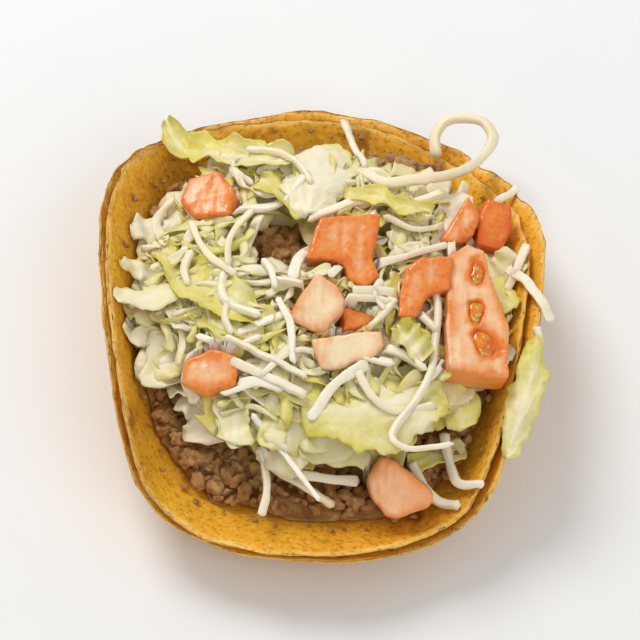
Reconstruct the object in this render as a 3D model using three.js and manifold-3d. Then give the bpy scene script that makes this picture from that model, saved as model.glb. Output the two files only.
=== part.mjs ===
// A soft taco lying open: two warm corn tortillas, one inside the other, curled up into a shallow cradle that
// holds ground beef, shredded lettuce and cheese, lettuce leaves and diced tomato.
//
// Millimetres, +Z up. The fold runs along Y, so the flanks rise towards -X and +X.
// The origin is the middle of the flat underside that the taco rests on.

import * as THREE from "three";
import { mergeVertices } from "three/addons/utils/BufferGeometryUtils.js";
import Module from "manifold-3d";

const wasm = await Module();
wasm.setup();

// ---------------------------------------------------------------- driving dimensions

const GAP = 0.35; // clear space between two pieces that touch

const TORTILLA = { radius: 74, thickness: 2.2 };
const INNER_SHIFT = { s: -2.5, t: -2.5 }; // the inner tortilla's rim lies a little off centre
const RIM_OPENING = { height: 3, towards: 115 }; // the two rims part at the back left, towards this angle

// The cradle's two curves: flat in the middle, then an arc, then straight on to the rim.
const FLANK = { flat: 20, arc: 36, angle: 62, opening: 12 }; // degrees; the back end lies more open
const END = { flat: 34, arc: 34, angle: 34 };

// The taco rests on a flat spot with four corners, on the third ring. Round it the underside is hollow.
const FLAT_SPOT = { halfWidth: 20, halfLength: 24, edge: 2, hollow: 0.5, fades: [38, 52] };

// All layers share one grid of rings, so that the faces of neighbouring layers stay parallel.
const RING_RADII = [0, 11, 19, 30.5, 41, 49, 56, 62, 67, 71, 74];
const SEGMENTS = 36;
const BEEF_RINGS = 7;
const SALAD_RINGS = 6;

const BEEF_THICKNESS = 9.5;
const CRUMBLES = { count: 22, radius: [2.4, 3.6] };
const MOUND = { x: -11, y: 11, radius: 8, height: 27 }; // beef that shows through a hollow in the salad

const SALAD = { top: 37, halfWidth: 50, halfLength: 49 }; // of the heap's core
const LETTUCE_SHRED = { width: 4, thickness: 1.2 };
const CHEESE_SHRED = { width: 2.6, thickness: 2 };
const SCATTERED = { count: 26, length: [18, 32], reach: 46 };
const STEP = 5; // between two bends of a shred
const CLEARANCES = [2 * GAP, 1.3, 2, 3]; // how high shreds are tried above other pieces

const LEAF_THICKNESS = 1.2;
const LEAF_GAP = 0.65;

const COLOURS = {
  tortilla: 0xd9a85c,
  beef: 0x7a5737,
  salad: 0xe3dcab,
  leaf: 0xc9d48a,
  rib: 0xe9e6cf,
  tomato: 0xea8a55,
};

// ---------------------------------------------------------------- small tools

/** A repeatable source of numbers between 0 and 1. */
function seeded(seed) {
  let state = seed;
  return () => {
    state = (state + 0x6d2b79f5) | 0;
    let mixed = Math.imul(state ^ (state >>> 15), 1 | state);
    mixed = (mixed + Math.imul(mixed ^ (mixed >>> 7), 61 | mixed)) ^ mixed;
    return ((mixed ^ (mixed >>> 14)) >>> 0) / 4294967296;
  };
}

const between = (random, [least, most]) => least + (most - least) * random();
const { degToRad, smoothstep, lerp } = THREE.MathUtils;
const GOLDEN_ANGLE = Math.PI * (3 - Math.sqrt(5));

/** A gentle unevenness between -1 and 1, with hollows about `size` mm apart. */
function unevenness(x, y, size) {
  const a = Math.sin((2 * Math.PI * (x + 0.4 * y)) / size + 1.3);
  const b = Math.sin((2 * Math.PI * (y - 0.3 * x)) / (1.3 * size) + 4.1);
  const c = Math.sin((2 * Math.PI * (x + 1.7 * y)) / (1.6 * size));
  return (a + b + c) / 3;
}

/** Only the positions of a geometry, with shared vertices merged. */
function bareGeometry(geometry) {
  const bare = geometry.clone();
  bare.deleteAttribute("normal");
  bare.deleteAttribute("uv");
  return mergeVertices(bare, 1e-4);
}

/** A closed geometry as a manifold-3d solid. */
function solidOf(geometry) {
  const merged = bareGeometry(geometry);
  const vertProperties = merged.attributes.position.array;
  const triVerts = new Uint32Array(merged.index.array);
  return new wasm.Manifold(new wasm.Mesh({ numProp: 3, vertProperties, triVerts }));
}

/** A manifold-3d solid as a geometry for a mesh. */
function geometryOf(solid) {
  const mesh = solid.getMesh();
  const corners = new Float32Array(mesh.numVert * 3);
  for (let i = 0; i < mesh.numVert; i++) {
    const start = i * mesh.numProp;
    corners.set(mesh.vertProperties.subarray(start, start + 3), i * 3);
  }
  const geometry = new THREE.BufferGeometry();
  geometry.setAttribute("position", new THREE.BufferAttribute(corners, 3));
  geometry.setIndex(new THREE.BufferAttribute(mesh.triVerts, 1));
  return geometry;
}

/** The largest separate body of a solid; loose scraps are dropped. */
function largest(solid) {
  return solid.decompose().reduce((a, b) => (a.volume() > b.volume() ? a : b));
}

const union = (solids) => solids.reduce((a, b) => a.add(b));
const crosses = (a, b) => a.intersect(b).volume() > 0.001;

/**
 * A closed slab made from a flat grid. place(x, y, side) says where a grid point goes on the lower face
 * (side 0) and on the upper face (side 1), so both faces are split into triangles alike.
 */
function slab(grid, place) {
  const flat = bareGeometry(grid);
  const position = flat.attributes.position;
  const count = position.count;
  const points = new Float32Array(6 * count);
  for (let i = 0; i < 2 * count; i++) {
    const side = i < count ? 0 : 1;
    place(position.getX(i % count), position.getY(i % count), side).toArray(points, 3 * i);
  }
  const faces = [];
  const rim = new Map();
  for (let i = 0; i < flat.index.count; i += 3) {
    const [a, b, c] = flat.index.array.subarray(i, i + 3);
    if (a === b || b === c || c === a) continue;
    faces.push(a, c, b, a + count, b + count, c + count);
    for (const [from, to] of [[a, b], [b, c], [c, a]]) {
      if (!rim.delete(`${to} ${from}`)) rim.set(`${from} ${to}`, [from, to]);
    }
  }
  for (const [from, to] of rim.values()) {
    faces.push(from, to, to + count, from, to + count, from + count);
  }
  const geometry = new THREE.BufferGeometry();
  geometry.setAttribute("position", new THREE.BufferAttribute(points, 3));
  geometry.setIndex(faces);
  return geometry;
}

// ---------------------------------------------------------------- the cradle

/** Where a sheet leads at a distance from the fold: how far out, how high and how steep. */
function bend(distance, flat, arc, angle) {
  const along = Math.abs(distance);
  if (along <= flat) return { out: distance, up: 0, slope: 0 };
  const radius = arc / angle;
  const turn = Math.min((along - flat) / radius, angle);
  const straight = Math.max(along - flat - arc, 0);
  const out = flat + radius * Math.sin(turn) + straight * Math.cos(angle);
  const up = radius * (1 - Math.cos(turn)) + straight * Math.sin(angle);
  return { out: Math.sign(distance) * out, up, slope: Math.sign(distance) * turn };
}

/** The point `depth` above the underside, at s across and t along a tortilla before it was curled. */
function cradlePoint(s, t, depth) {
  const flankAngle = degToRad(FLANK.angle - (FLANK.opening * t) / TORTILLA.radius);
  const across = bend(s, FLANK.flat, FLANK.arc, flankAngle);
  const along = bend(t, END.flat, END.arc, degToRad(END.angle));
  const normal = new THREE.Vector3(
    -Math.sin(across.slope) * Math.cos(along.slope),
    -Math.cos(across.slope) * Math.sin(along.slope),
    Math.cos(across.slope) * Math.cos(along.slope),
  ).normalize();
  const fromMiddle = Math.hypot(s, t) / TORTILLA.radius;
  const ripple = 3 * Math.max(fromMiddle - 0.55, 0) * Math.sin(5 * Math.atan2(t, s) + 0.6);
  return new THREE.Vector3(across.out, along.out, across.up + along.up + ripple).addScaledVector(normal, depth);
}

/** A hand-pressed disc isn't quite round. */
const pressedOutline = (angle) => 1 + 0.009 * Math.sin(3 * angle + 0.5) + 0.006 * Math.sin(7 * angle);

/** A layer over the first `rings` rings of the grid; place(s, t, side) gives its lower and upper points. */
function layer(rings, place) {
  const grid = new THREE.RingGeometry(0, rings, SEGMENTS, rings);
  return slab(grid, (x, y, side) => {
    const angle = Math.atan2(y, x);
    const radius = RING_RADII[Math.round(Math.hypot(x, y))] * pressedOutline(angle);
    return place(radius * Math.cos(angle), radius * Math.sin(angle), side);
  });
}

// ---------------------------------------------------------------- tortillas

/** How much thinner each face is at (s, t): nothing in the body, rounding off towards the rim. */
function thinning(s, t) {
  return 0.32 * TORTILLA.thickness * smoothstep(Math.hypot(s, t), TORTILLA.radius - 4, TORTILLA.radius);
}

/** How far the underside is hollowed, so that only the flat spot touches what the taco lies on. */
function hollowing(s, t) {
  const outside = Math.max(Math.abs(s) - FLAT_SPOT.halfWidth, Math.abs(t) - FLAT_SPOT.halfLength);
  const fading = 1 - smoothstep(Math.hypot(s, t), ...FLAT_SPOT.fades);
  return FLAT_SPOT.hollow * smoothstep(outside, 0, FLAT_SPOT.edge) * fading;
}

function outerTortilla() {
  return layer(RING_RADII.length - 1, (s, t, side) => {
    const depth = side ? TORTILLA.thickness - thinning(s, t) : thinning(s, t) + hollowing(s, t);
    return cradlePoint(s, t, depth);
  });
}

const INNER_UNDERSIDE = TORTILLA.thickness + GAP;
const INNER_TOP = INNER_UNDERSIDE + TORTILLA.thickness;

function innerTortilla() {
  return layer(RING_RADII.length - 1, (s, t, side) => {
    const fromMiddle = Math.hypot(s, t);
    const shift = smoothstep(fromMiddle, 58, TORTILLA.radius);
    const facing = Math.max(Math.cos(Math.atan2(t, s) - degToRad(RIM_OPENING.towards)), 0) ** 4;
    const opening = (0.5 + RIM_OPENING.height * facing) * smoothstep(fromMiddle, 56, TORTILLA.radius);
    const depth = side ? INNER_TOP - thinning(s, t) : INNER_UNDERSIDE + thinning(s, t);
    return cradlePoint(s + shift * INNER_SHIFT.s, t + shift * INNER_SHIFT.t, depth + opening);
  });
}

/** The space to keep clear over the tortillas. */
function tortillasRoom() {
  return layer(RING_RADII.length - 1, (s, t, side) => cradlePoint(s, t, side ? INNER_TOP + GAP : -GAP));
}

// ---------------------------------------------------------------- ground beef

/** Depth of the beef's top at (s, t), before its crumbles. */
function beefTop(s, t) {
  const fromMiddle = Math.hypot(s, t) / 64;
  const thickness = BEEF_THICKNESS * Math.max(1 - fromMiddle ** 3, 0) + 1 + 0.7 * unevenness(s, t, 19);
  return INNER_TOP + GAP + thickness;
}

/** One crumble, a squashed lump with few sides. */
function crumble(centre, radius, random) {
  const lump = new THREE.IcosahedronGeometry(radius, 0);
  lump.rotateX(3 * random());
  lump.rotateZ(3 * random());
  lump.scale(1.15, between(random, [0.85, 1.2]), 0.8);
  lump.translate(centre.x, centre.y, centre.z);
  return solidOf(lump);
}

function beefSolid() {
  const random = seeded(7);
  const core = layer(BEEF_RINGS, (s, t, side) => cradlePoint(s, t, side ? beefTop(s, t) : INNER_TOP + GAP));
  const lumps = [solidOf(core)];
  for (let i = 0; i < CRUMBLES.count; i++) {
    // An even spread over the two bands, in front and at the back, that the salad leaves bare.
    const s = 36 * Math.sin(2.4 * i + 0.4);
    const t = (i % 2 ? 1 : -1) * Math.sqrt(between(random, [54.5, 60]) ** 2 - 0.35 * s * s);
    lumps.push(crumble(cradlePoint(s, t, beefTop(s, t) + 0.4), between(random, CRUMBLES.radius), random));
  }
  const mound = new THREE.SphereGeometry(1, 12, 6);
  mound.rotateX(Math.PI / 2);
  mound.scale(MOUND.radius, 1.4 * MOUND.radius, MOUND.height - 10);
  mound.translate(MOUND.x, MOUND.y, 10);
  lumps.push(solidOf(mound));
  for (let i = 0; i < 7; i++) {
    const out = 0.8 * Math.sqrt((i + 0.5) / 7);
    const x = out * Math.cos(i * GOLDEN_ANGLE);
    const y = out * Math.sin(i * GOLDEN_ANGLE);
    const z = 10 + (MOUND.height - 10) * Math.sqrt(1 - out * out);
    const centre = new THREE.Vector3(MOUND.x + MOUND.radius * x, MOUND.y + 1.4 * MOUND.radius * y, z);
    lumps.push(crumble(centre, between(random, CRUMBLES.radius), random));
  }
  return union(lumps);
}

/** The space round the mound that the salad keeps clear, open upwards. */
function moundHollow() {
  const hollow = new THREE.CylinderGeometry(MOUND.radius + 4, MOUND.radius + 2.5, 80, 14);
  hollow.rotateX(Math.PI / 2);
  hollow.scale(1, 1.35, 1);
  hollow.translate(MOUND.x, MOUND.y, 30);
  return solidOf(hollow);
}

// ---------------------------------------------------------------- leaves

// spine: points along the middle of the leaf; widths: its half-widths at even steps along the spine;
// curl: how far its long edges turn up (or down); waves: how many and how high.
const LEAVES = {
  leaf_back_ribbon: {
    spine: [[-43, 57, 21.5], [-39.5, 50, 20.3], [-32.6, 45, 23.8], [-24, 41, 29], [-17, 37, 33], [-8, 37, 34.5]],
    widths: [2.5, 4.5, 5, 5, 3], curl: 2.5, waves: [3, 1.2], colour: COLOURS.leaf,
  },
  leaf_back_rib: {
    spine: [[-3, 46, 28.5], [-2, 38, 33], [-3, 28, 36], [-4, 17, 38]],
    widths: [6, 8.5, 9, 3], curl: -1.5, waves: [2, 0.9], colour: COLOURS.rib,
  },
  leaf_right_back: {
    spine: [[23, 33, 31.5], [23, 22, 33.5], [20, 7, 36]],
    widths: [4, 5, 3.5], curl: 1, waves: [2, 0.8], colour: COLOURS.rib,
  },
  leaf_right_outer: {
    spine: [[34, 33, 29], [33, 22, 31.5], [30, 11, 34]],
    widths: [5, 4.5, 2.5], curl: 1, waves: [2, 0.8], colour: COLOURS.rib,
  },
  leaf_thin_green: {
    spine: [[5, 24, 37.5], [13, 23, 39], [19, 20, 39.5], [28, 20.5, 37.5]],
    widths: [2, 3, 3, 1.5], curl: 1.2, waves: [3, 0.8], colour: COLOURS.leaf,
  },
  leaf_front_broad: {
    spine: [[-4, -38, 33], [7, -39, 33.5], [19, -36, 33], [31, -27, 31.5]],
    widths: [6, 10, 11, 7], curl: -1.5, waves: [2, 1.2], colour: COLOURS.leaf,
  },
  leaf_right_curly: {
    spine: [[19, -15, 37], [22.5, -20, 36], [26, -24, 34.5]],
    widths: [3, 4, 3], curl: 2, waves: [3, 1], colour: COLOURS.leaf,
  },
  leaf_rim_strip: {
    spine: [[54.8, -14, 35.6], [54, -24, 33.2], [51.6, -34, 29.6], [48.2, -45, 25.2]],
    widths: [2, 4.2, 4, 2.5], curl: -1.5, waves: [2, 0.6], colour: COLOURS.rib,
  },
  leaf_left: {
    spine: [[-41, 8, 31], [-32, -4, 34.5], [-22, -12, 36.5], [-12, -18, 37]],
    widths: [3, 6, 6, 3], curl: 1.5, waves: [3, 1.2], colour: COLOURS.leaf,
  },
};

/** The half-width at u along a leaf, between the widths given. */
function widthAt(widths, u) {
  const place = THREE.MathUtils.clamp(u, 0, 1) * (widths.length - 1);
  const before = Math.min(Math.floor(place), widths.length - 2);
  return lerp(widths[before], widths[before + 1], place - before);
}

/** A thin wavy leaf; grow makes the space to keep clear round it, and lift opens that space upwards. */
function leafGeometry({ spine, widths, curl, waves }, grow = 0, lift = 0) {
  const path = new THREE.CatmullRomCurve3(spine.map((point) => new THREE.Vector3(...point)));
  const grid = new THREE.PlaneGeometry(1, 2, 10, 3);
  return slab(grid, (x, v, side) => {
    const u = x + 0.5;
    const middle = path.getPoint(u);
    const forward = path.getTangent(u);
    const aside = new THREE.Vector3(-forward.y, forward.x, 0).normalize();
    const normal = new THREE.Vector3().crossVectors(forward, aside).normalize();
    const wave = waves[1] * Math.sin(2 * Math.PI * waves[0] * u + 2 * v) * (0.3 + 0.7 * Math.abs(v));
    const height = curl * v * v + wave;
    middle.addScaledVector(forward, 2 * x * grow);
    middle.addScaledVector(aside, v * (widthAt(widths, u) + grow));
    middle.addScaledVector(normal, height + (side ? 1 : -1) * (LEAF_THICKNESS / 2 + grow));
    if (side) middle.z += lift;
    return middle;
  });
}

// ---------------------------------------------------------------- diced tomato

// at: the middle of the top face; lean: how far that face leans towards +X and towards -Y, in degrees;
// outline: the top face's corners; thickness: how deep the piece is below that face.
const TOMATOES = {
  tomato_notched: {
    at: [6.8, 3.6, 40.8], lean: [0, 12], thickness: 8.5,
    outline: [[-8.5, 9.5], [7.5, 12], [7, 5.5], [6, -0.5], [8, -6], [4, -10], [-0.5, -7.5], [-2, -2.5], [-11.5, -2.5], [-10.5, 3]],
  },
  tomato_pale_cube: {
    at: [-0.9, -12.9, 41.3], lean: [-10, 25], thickness: 9,
    outline: [[-1, 8], [4.5, 5], [6.5, 1.5], [6, -2], [2, -7], [-1, -7.5], [-8, -4.5], [-6, 1]],
  },
  tomato_pale_end: {
    at: [7.7, -24, 37.4], lean: [0, 25], thickness: 7,
    outline: [[-10.5, 2.5], [0, 5], [7.5, 6], [8.5, 1.5], [4.5, -2], [-3, -5.5], [-7.5, -5.5]],
  },
  tomato_under: {
    at: [9.3, -14.6, 37.4], lean: [10, 10], thickness: 6,
    outline: [[-4, 3.5], [2.5, 3], [5, 1], [3, -1.5], [-4, -3.5]],
  },
  tomato_wedge: {
    at: [36, 18, 36], lean: [5, 20], thickness: 7.5,
    outline: [[1.5, 9], [5, 3], [3.5, -2.5], [-0.5, -5], [-6, -5], [-3.5, 0]],
  },
  tomato_rim_chunk: {
    at: [45, 20.5, 34], lean: [10, 15], thickness: 7,
    outline: [[-2, 8], [4.5, 6.5], [5, 0], [2, -7.5], [-5, -6], [-5, 1]],
  },
  tomato_slice: {
    at: [39, -9.3, 39], lean: [5, 8], thickness: 9.5, pockets: [[0.5, 9.5, 2.6, 4.2], [1.5, -8, 3.4, 7]],
    outline: [[-7.5, 14], [-2.5, 18.5], [2.5, 17], [4, 9.5], [6.5, 2], [9, -4], [9, -18.5], [1.5, -19], [-7, -17.5], [-8, -5]],
  },
  tomato_arm: {
    at: [25.1, -5.2, 41], lean: [0, 15], thickness: 7,
    outline: [[-4, 5], [-0.5, 8], [8, 9], [7.5, -0.5], [1.5, -2.5], [-1, -8.5], [-6, -9], [-5.5, -1.5]],
  },
  tomato_front: {
    at: [21.6, -55.8, 23.5], lean: [0, 35], thickness: 9, bevel: 2.4,
    outline: [[-5, 9], [-1, 7.5], [8, 1.5], [9, -1], [8, -3.5], [0.5, -7], [-3, -6.5], [-7.5, -2], [-8.5, 2.5]],
  },
  tomato_left: {
    at: [-30, 22, 36.5], lean: [-12, 8], thickness: 9,
    outline: [[-6, 5.5], [2, 7.5], [7, 2], [5.5, -6], [-4, -6.5], [-8, -1]],
  },
  tomato_left_front: {
    at: [-27, -31, 34.5], lean: [-8, 18], thickness: 8,
    outline: [[-7, 3], [0, 6.5], [7.5, 4], [6.5, -3.5], [-1, -6], [-7.5, -3]],
  },
};

/** One piece of tomato, or with grow the space to keep clear round it. */
function tomatoSolid({ at, lean, outline, thickness, bevel = 0.9, pockets = [] }, grow = 0) {
  const shape = new THREE.Shape(outline.map((corner) => new THREE.Vector2(...corner)));
  const geometry = new THREE.ExtrudeGeometry(shape, {
    depth: thickness - 2 * bevel + 2 * grow,
    bevelThickness: bevel,
    bevelSize: bevel,
    bevelOffset: grow - bevel,
    bevelSegments: bevel > 1 ? 2 : 1,
  });
  geometry.translate(0, 0, bevel + grow - (thickness + 2 * grow) + grow);
  let solid = solidOf(geometry);
  if (grow === 0) {
    for (const [x, y, halfWidth, halfLength] of pockets) {
      const pocket = new THREE.SphereGeometry(1, 10, 6);
      pocket.rotateX(Math.PI / 2);
      pocket.scale(halfWidth, halfLength, 2);
      pocket.translate(x, y, 0);
      solid = solid.subtract(solidOf(pocket));
    }
  }
  const normal = new THREE.Vector3(Math.tan(degToRad(lean[0])), -Math.tan(degToRad(lean[1])), 1).normalize();
  const aside = new THREE.Vector3(1, 0, 0).addScaledVector(normal, -normal.x).normalize();
  const back = new THREE.Vector3().crossVectors(normal, aside);
  const placing = new THREE.Matrix4().makeBasis(aside, back, normal).setPosition(...at);
  return solidOf(geometryOf(solid).applyMatrix4(placing));
}

// ---------------------------------------------------------------- salad heap

/** Height of the salad core's top at (x, y). */
function saladTop(x, y) {
  const fall = 0.34 * (x / 55) ** 2 + 0.5 * (y / 68) ** 2;
  const outward = Math.hypot(x / SALAD.halfWidth, y / SALAD.halfLength);
  const edge = 1 - 0.42 * smoothstep(outward, 0.82, 1.02);
  return SALAD.top * (1 - fall) * edge + 0.9 * unevenness(x, y, 23);
}

function saladCore() {
  const dome = layer(SALAD_RINGS, (s, t, side) => {
    const low = cradlePoint(s, t, beefTop(s, t) + GAP);
    if (side === 0) return low;
    return low.setZ(Math.max(saladTop(low.x, low.y), low.z + 1.2));
  });
  const edge = new THREE.CylinderGeometry(1, 1, 120, 28);
  edge.rotateX(Math.PI / 2);
  edge.scale(SALAD.halfWidth, SALAD.halfLength, 1);
  return solidOf(dome).intersect(solidOf(edge));
}

// The longest shreds, as points along each; a third number is a height, and the others lie on what is below.
const CURLED_SHREDS = [
  [[9, 39, 29], [12, 33.5, 34], [16, 30.2, 35.8], [21.5, 31, 36.4], [27.5, 32.8, 36], [33, 36.5, 33], [38.6, 43.5, 27.5],
    [44, 53, 21.5], [47, 61.5, 18.3], [45, 67.3, 17.5], [40, 69, 17], [34.3, 67.8, 16.6], [31.4, 63.5, 16.2],
    [31.2, 59, 15.6], [32, 56, 14.8]],
];
const LONG_SHREDS = [
  [[28.5, -3], [29.5, -10], [29, -18], [28, -27], [24, -36], [18, -45]],
  [[33, -36], [35, -44], [37, -49.5], [43, -51]],
  [[-14, -45], [-6, -49.5], [3, -50.5], [12, -50.5]],
  [[-14, -46], [-6, -51], [1, -54], [6, -57]],
  [[-13, -45], [-11, -54], [-12, -62]],
  [[-16, -40], [-9, -47], [-2, -56], [2, -61]],
  [[-24, -22], [-14, -27], [-3, -32]],
  [[-22, -28], [-12, -33], [-3, -37]],
  [[42, 32], [48, 37], [53, 42]],
  [[48, 8], [54, 0], [59, -9]],
  [[53, 14], [50, 6], [48, 2]],
  [[5, 57], [8, 47], [11, 38]],
  [[39, 43], [36, 36], [31, 34]],
  [[25, -44], [30, -52], [37, -56]],
];

/** A shred: a rectangle swept along a smooth path. */
function shredGeometry(points, { width, thickness }, grow = 0) {
  const halfWidth = width / 2 + grow;
  const halfThickness = thickness / 2 + grow;
  const section = new THREE.Shape([
    new THREE.Vector2(-halfThickness, -halfWidth),
    new THREE.Vector2(halfThickness, -halfWidth),
    new THREE.Vector2(halfThickness, halfWidth),
    new THREE.Vector2(-halfThickness, halfWidth),
  ]);
  const extrudePath = new THREE.CatmullRomCurve3(points);
  const steps = points.length - 1;
  return new THREE.ExtrudeGeometry(section, { steps, extrudePath, bevelEnabled: false });
}

/** Builds the heap of salad on its core, clear of every other piece. */
function saladSolid(core, others) {
  let salad = core;
  const random = seeded(23);
  const everythingElse = union(others);
  const otherMesh = new THREE.Mesh(geometryOf(everythingElse));
  const caster = new THREE.Raycaster();
  const down = new THREE.Vector3(0, 0, -1);
  let saladMesh = new THREE.Mesh(geometryOf(salad));

  /** The height of the top of a mesh at (x, y), or 0 beside it. */
  function topOf(mesh, x, y) {
    caster.set(new THREE.Vector3(x, y, 200), down);
    return caster.intersectObject(mesh)[0]?.point.z ?? 0;
  }

  /** The height of the middle of a shred that lies at (x, y), when it clears other pieces by `clear`. */
  function lyingHeight(x, y, size, clear) {
    const reach = 0.5 * STEP;
    const around = [[0, 0], [reach, 0], [-reach, 0], [0, reach], [0, -reach]];
    const ontoOther = Math.max(...around.map(([dx, dy]) => topOf(otherMesh, x + dx, y + dy)));
    const ontoSalad = topOf(saladMesh, x, y);
    return Math.max(ontoOther + size.thickness / 2 + clear, ontoSalad + 0.1 * size.thickness);
  }

  /** A plan's points at even steps. */
  function evenSteps(plan) {
    const curve = new THREE.CatmullRomCurve3(plan.map(([x, y, z]) => new THREE.Vector3(x, y, z ?? 0)));
    return curve.getSpacedPoints(Math.max(3, Math.round(curve.getLength() / STEP)));
  }

  /** Lays one shred on the heap, raised until it clears the other pieces; one that can't clear them is skipped. */
  function lay(steps, size, inAir) {
    const shredAt = (clear, grow) => {
      const points = steps.map(({ x, y, z }) => {
        return new THREE.Vector3(x, y, inAir ? z : lyingHeight(x, y, size, clear));
      });
      return solidOf(shredGeometry(points, size, grow));
    };
    const clear = CLEARANCES.find((height) => !crosses(shredAt(height, GAP), everythingElse));
    if (clear === undefined) return false;
    const shred = shredAt(clear, 0);
    if (shred.intersect(salad).volume() < 0.5) return false;
    salad = salad.add(shred);
    saladMesh = new THREE.Mesh(geometryOf(salad));
    return true;
  }

  /** Lays a shred, or else its last or its first two thirds. */
  function layWholeOrPart(plan, size) {
    const steps = evenSteps(plan);
    const inAir = plan[0].length > 2;
    const cut = Math.floor(steps.length / 3);
    return [steps, steps.slice(cut), steps.slice(0, -cut)].some((part) => lay(part, size, inAir));
  }

  CURLED_SHREDS.forEach((plan) => layWholeOrPart(plan, CHEESE_SHRED));
  LONG_SHREDS.forEach((plan) => layWholeOrPart(plan, CHEESE_SHRED));
  for (let i = 0; i < SCATTERED.count; i++) {
    const out = SCATTERED.reach * Math.sqrt((i + 0.5) / SCATTERED.count);
    const middle = new THREE.Vector2(0.92 * out, 0).rotateAround(new THREE.Vector2(), 2 + i * GOLDEN_ANGLE);
    const length = between(random, SCATTERED.length);
    const heading = 2 * Math.PI * random();
    const turning = between(random, [-0.9, 0.9]);
    const plan = [-0.5, -0.25, 0, 0.25, 0.5].map((along) => {
      const direction = heading + turning * along;
      return [
        middle.x + along * length * Math.cos(direction),
        middle.y + along * length * Math.sin(direction),
      ];
    });
    const size = i % 3 === 0 ? LETTUCE_SHRED : CHEESE_SHRED;
    layWholeOrPart(plan, size);
  }
  return salad;
}

// ---------------------------------------------------------------- assembly

const group = new THREE.Group();
group.name = "taco";

function add(name, geometry, colour, roughness) {
  const material = new THREE.MeshStandardMaterial({ color: colour, roughness, metalness: 0 });
  const mesh = new THREE.Mesh(geometry, material);
  mesh.name = name;
  group.add(mesh);
}

const tortillas = [outerTortilla(), innerTortilla()];
add("tortilla_outer", tortillas[0], COLOURS.tortilla, 0.7);
add("tortilla_inner", tortillas[1], COLOURS.tortilla, 0.7);
const tortillaSolids = tortillas.map(solidOf);
const tortillaRoom = solidOf(tortillasRoom());

const leafSolids = {};
let leafRoom = null;
for (const [name, leaf] of Object.entries(LEAVES)) {
  const clear = solidOf(leafGeometry(leaf)).subtract(tortillaRoom);
  leafSolids[name] = largest(leafRoom ? clear.subtract(leafRoom) : clear);
  const room = solidOf(leafGeometry(leaf, LEAF_GAP));
  leafRoom = leafRoom ? leafRoom.add(room) : room;
}

const tomatoSolids = {};
let tomatoRoom = null;
for (const [name, tomato] of Object.entries(TOMATOES)) {
  const clear = tomatoSolid(tomato).subtract(leafRoom).subtract(tortillaRoom);
  tomatoSolids[name] = largest(tomatoRoom ? clear.subtract(tomatoRoom) : clear);
  const room = tomatoSolid(tomato, GAP);
  tomatoRoom = tomatoRoom ? tomatoRoom.add(room) : room;
}

const beef = largest(beefSolid().subtract(tomatoRoom).subtract(union(tortillaSolids)));

const openLeafRoom = union(Object.values(LEAVES).map((leaf) => solidOf(leafGeometry(leaf, LEAF_GAP, 30))));
const core = largest(
  saladCore().subtract(tomatoRoom).subtract(openLeafRoom).subtract(moundHollow()),
);
const placed = [...tortillaSolids, beef, ...Object.values(leafSolids), ...Object.values(tomatoSolids)];
const salad = largest(saladSolid(core, placed));

add("beef", geometryOf(beef), COLOURS.beef, 0.8);
add("salad", geometryOf(salad), COLOURS.salad, 0.6);
for (const [name, solid] of Object.entries(leafSolids)) {
  add(name, geometryOf(solid), LEAVES[name].colour, 0.55);
}
for (const [name, solid] of Object.entries(tomatoSolids)) {
  add(name, geometryOf(solid), COLOURS.tomato, 0.35);
}

export default group;
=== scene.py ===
"""An open soft taco: doubled corn tortillas, ground beef, shredded lettuce and cheese, and diced tomato.

Lengths are in millimetres until a mesh is made, which is in metres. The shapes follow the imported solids, and
each piece of the scene stands for the solids named where it is made.
"""

import math

import bmesh
import bpy
import numpy as np
from mathutils import Matrix, Vector


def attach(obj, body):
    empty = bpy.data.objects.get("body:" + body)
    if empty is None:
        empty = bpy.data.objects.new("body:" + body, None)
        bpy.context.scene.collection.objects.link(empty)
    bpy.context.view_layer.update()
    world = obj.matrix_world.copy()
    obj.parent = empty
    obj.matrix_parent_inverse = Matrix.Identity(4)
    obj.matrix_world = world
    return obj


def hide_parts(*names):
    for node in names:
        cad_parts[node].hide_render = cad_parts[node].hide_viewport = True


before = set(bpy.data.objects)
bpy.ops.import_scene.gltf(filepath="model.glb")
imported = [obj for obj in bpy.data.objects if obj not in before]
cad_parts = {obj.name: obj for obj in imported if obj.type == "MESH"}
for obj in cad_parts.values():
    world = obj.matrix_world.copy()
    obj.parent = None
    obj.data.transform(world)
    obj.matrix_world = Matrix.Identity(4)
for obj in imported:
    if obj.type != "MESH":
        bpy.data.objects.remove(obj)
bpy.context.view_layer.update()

MM = 0.001
GOLDEN_ANGLE = math.pi * (3 - math.sqrt(5))

# --------------- driving dimensions, as in the solids

GAP = 0.35
RADIUS = 74.0
THICKNESS = 2.2
INNER_UNDERSIDE = THICKNESS + GAP
INNER_TOP = INNER_UNDERSIDE + THICKNESS
INNER_SHIFT = (-2.5, -2.5)
RIM_OPENING = 3.0
RIM_OPENING_TOWARDS = math.radians(115)
FLANK_FLAT, FLANK_ARC, FLANK_ANGLE, FLANK_OPENING = 20.0, 36.0, 62.0, 12.0
END_FLAT, END_ARC, END_ANGLE = 34.0, 34.0, math.radians(34.0)
BEEF_THICKNESS, BEEF_REACH = 9.5, 64.0
# The top and the radius of the beef that fills the hollow in the salad.
MOUND, MOUND_RADIUS = (-11.0, 11.0, 27.0), 8.0
SALAD_TOP, SALAD_HALF_WIDTH, SALAD_HALF_LENGTH = 37.0, 50.0, 49.0

# The radius of the beef's core, the ring of it that the salad leaves bare, and the ring of stray crumbs.
BEEF_RADIUS = 61.5
BARE_RING = (42.0, 61.2)
STRAY_RING = (61.5, 66.5)
# The top of the beef behind the salad, against the back of the tortillas.
PILE = (22.0, 46.5, 20.5)
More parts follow.
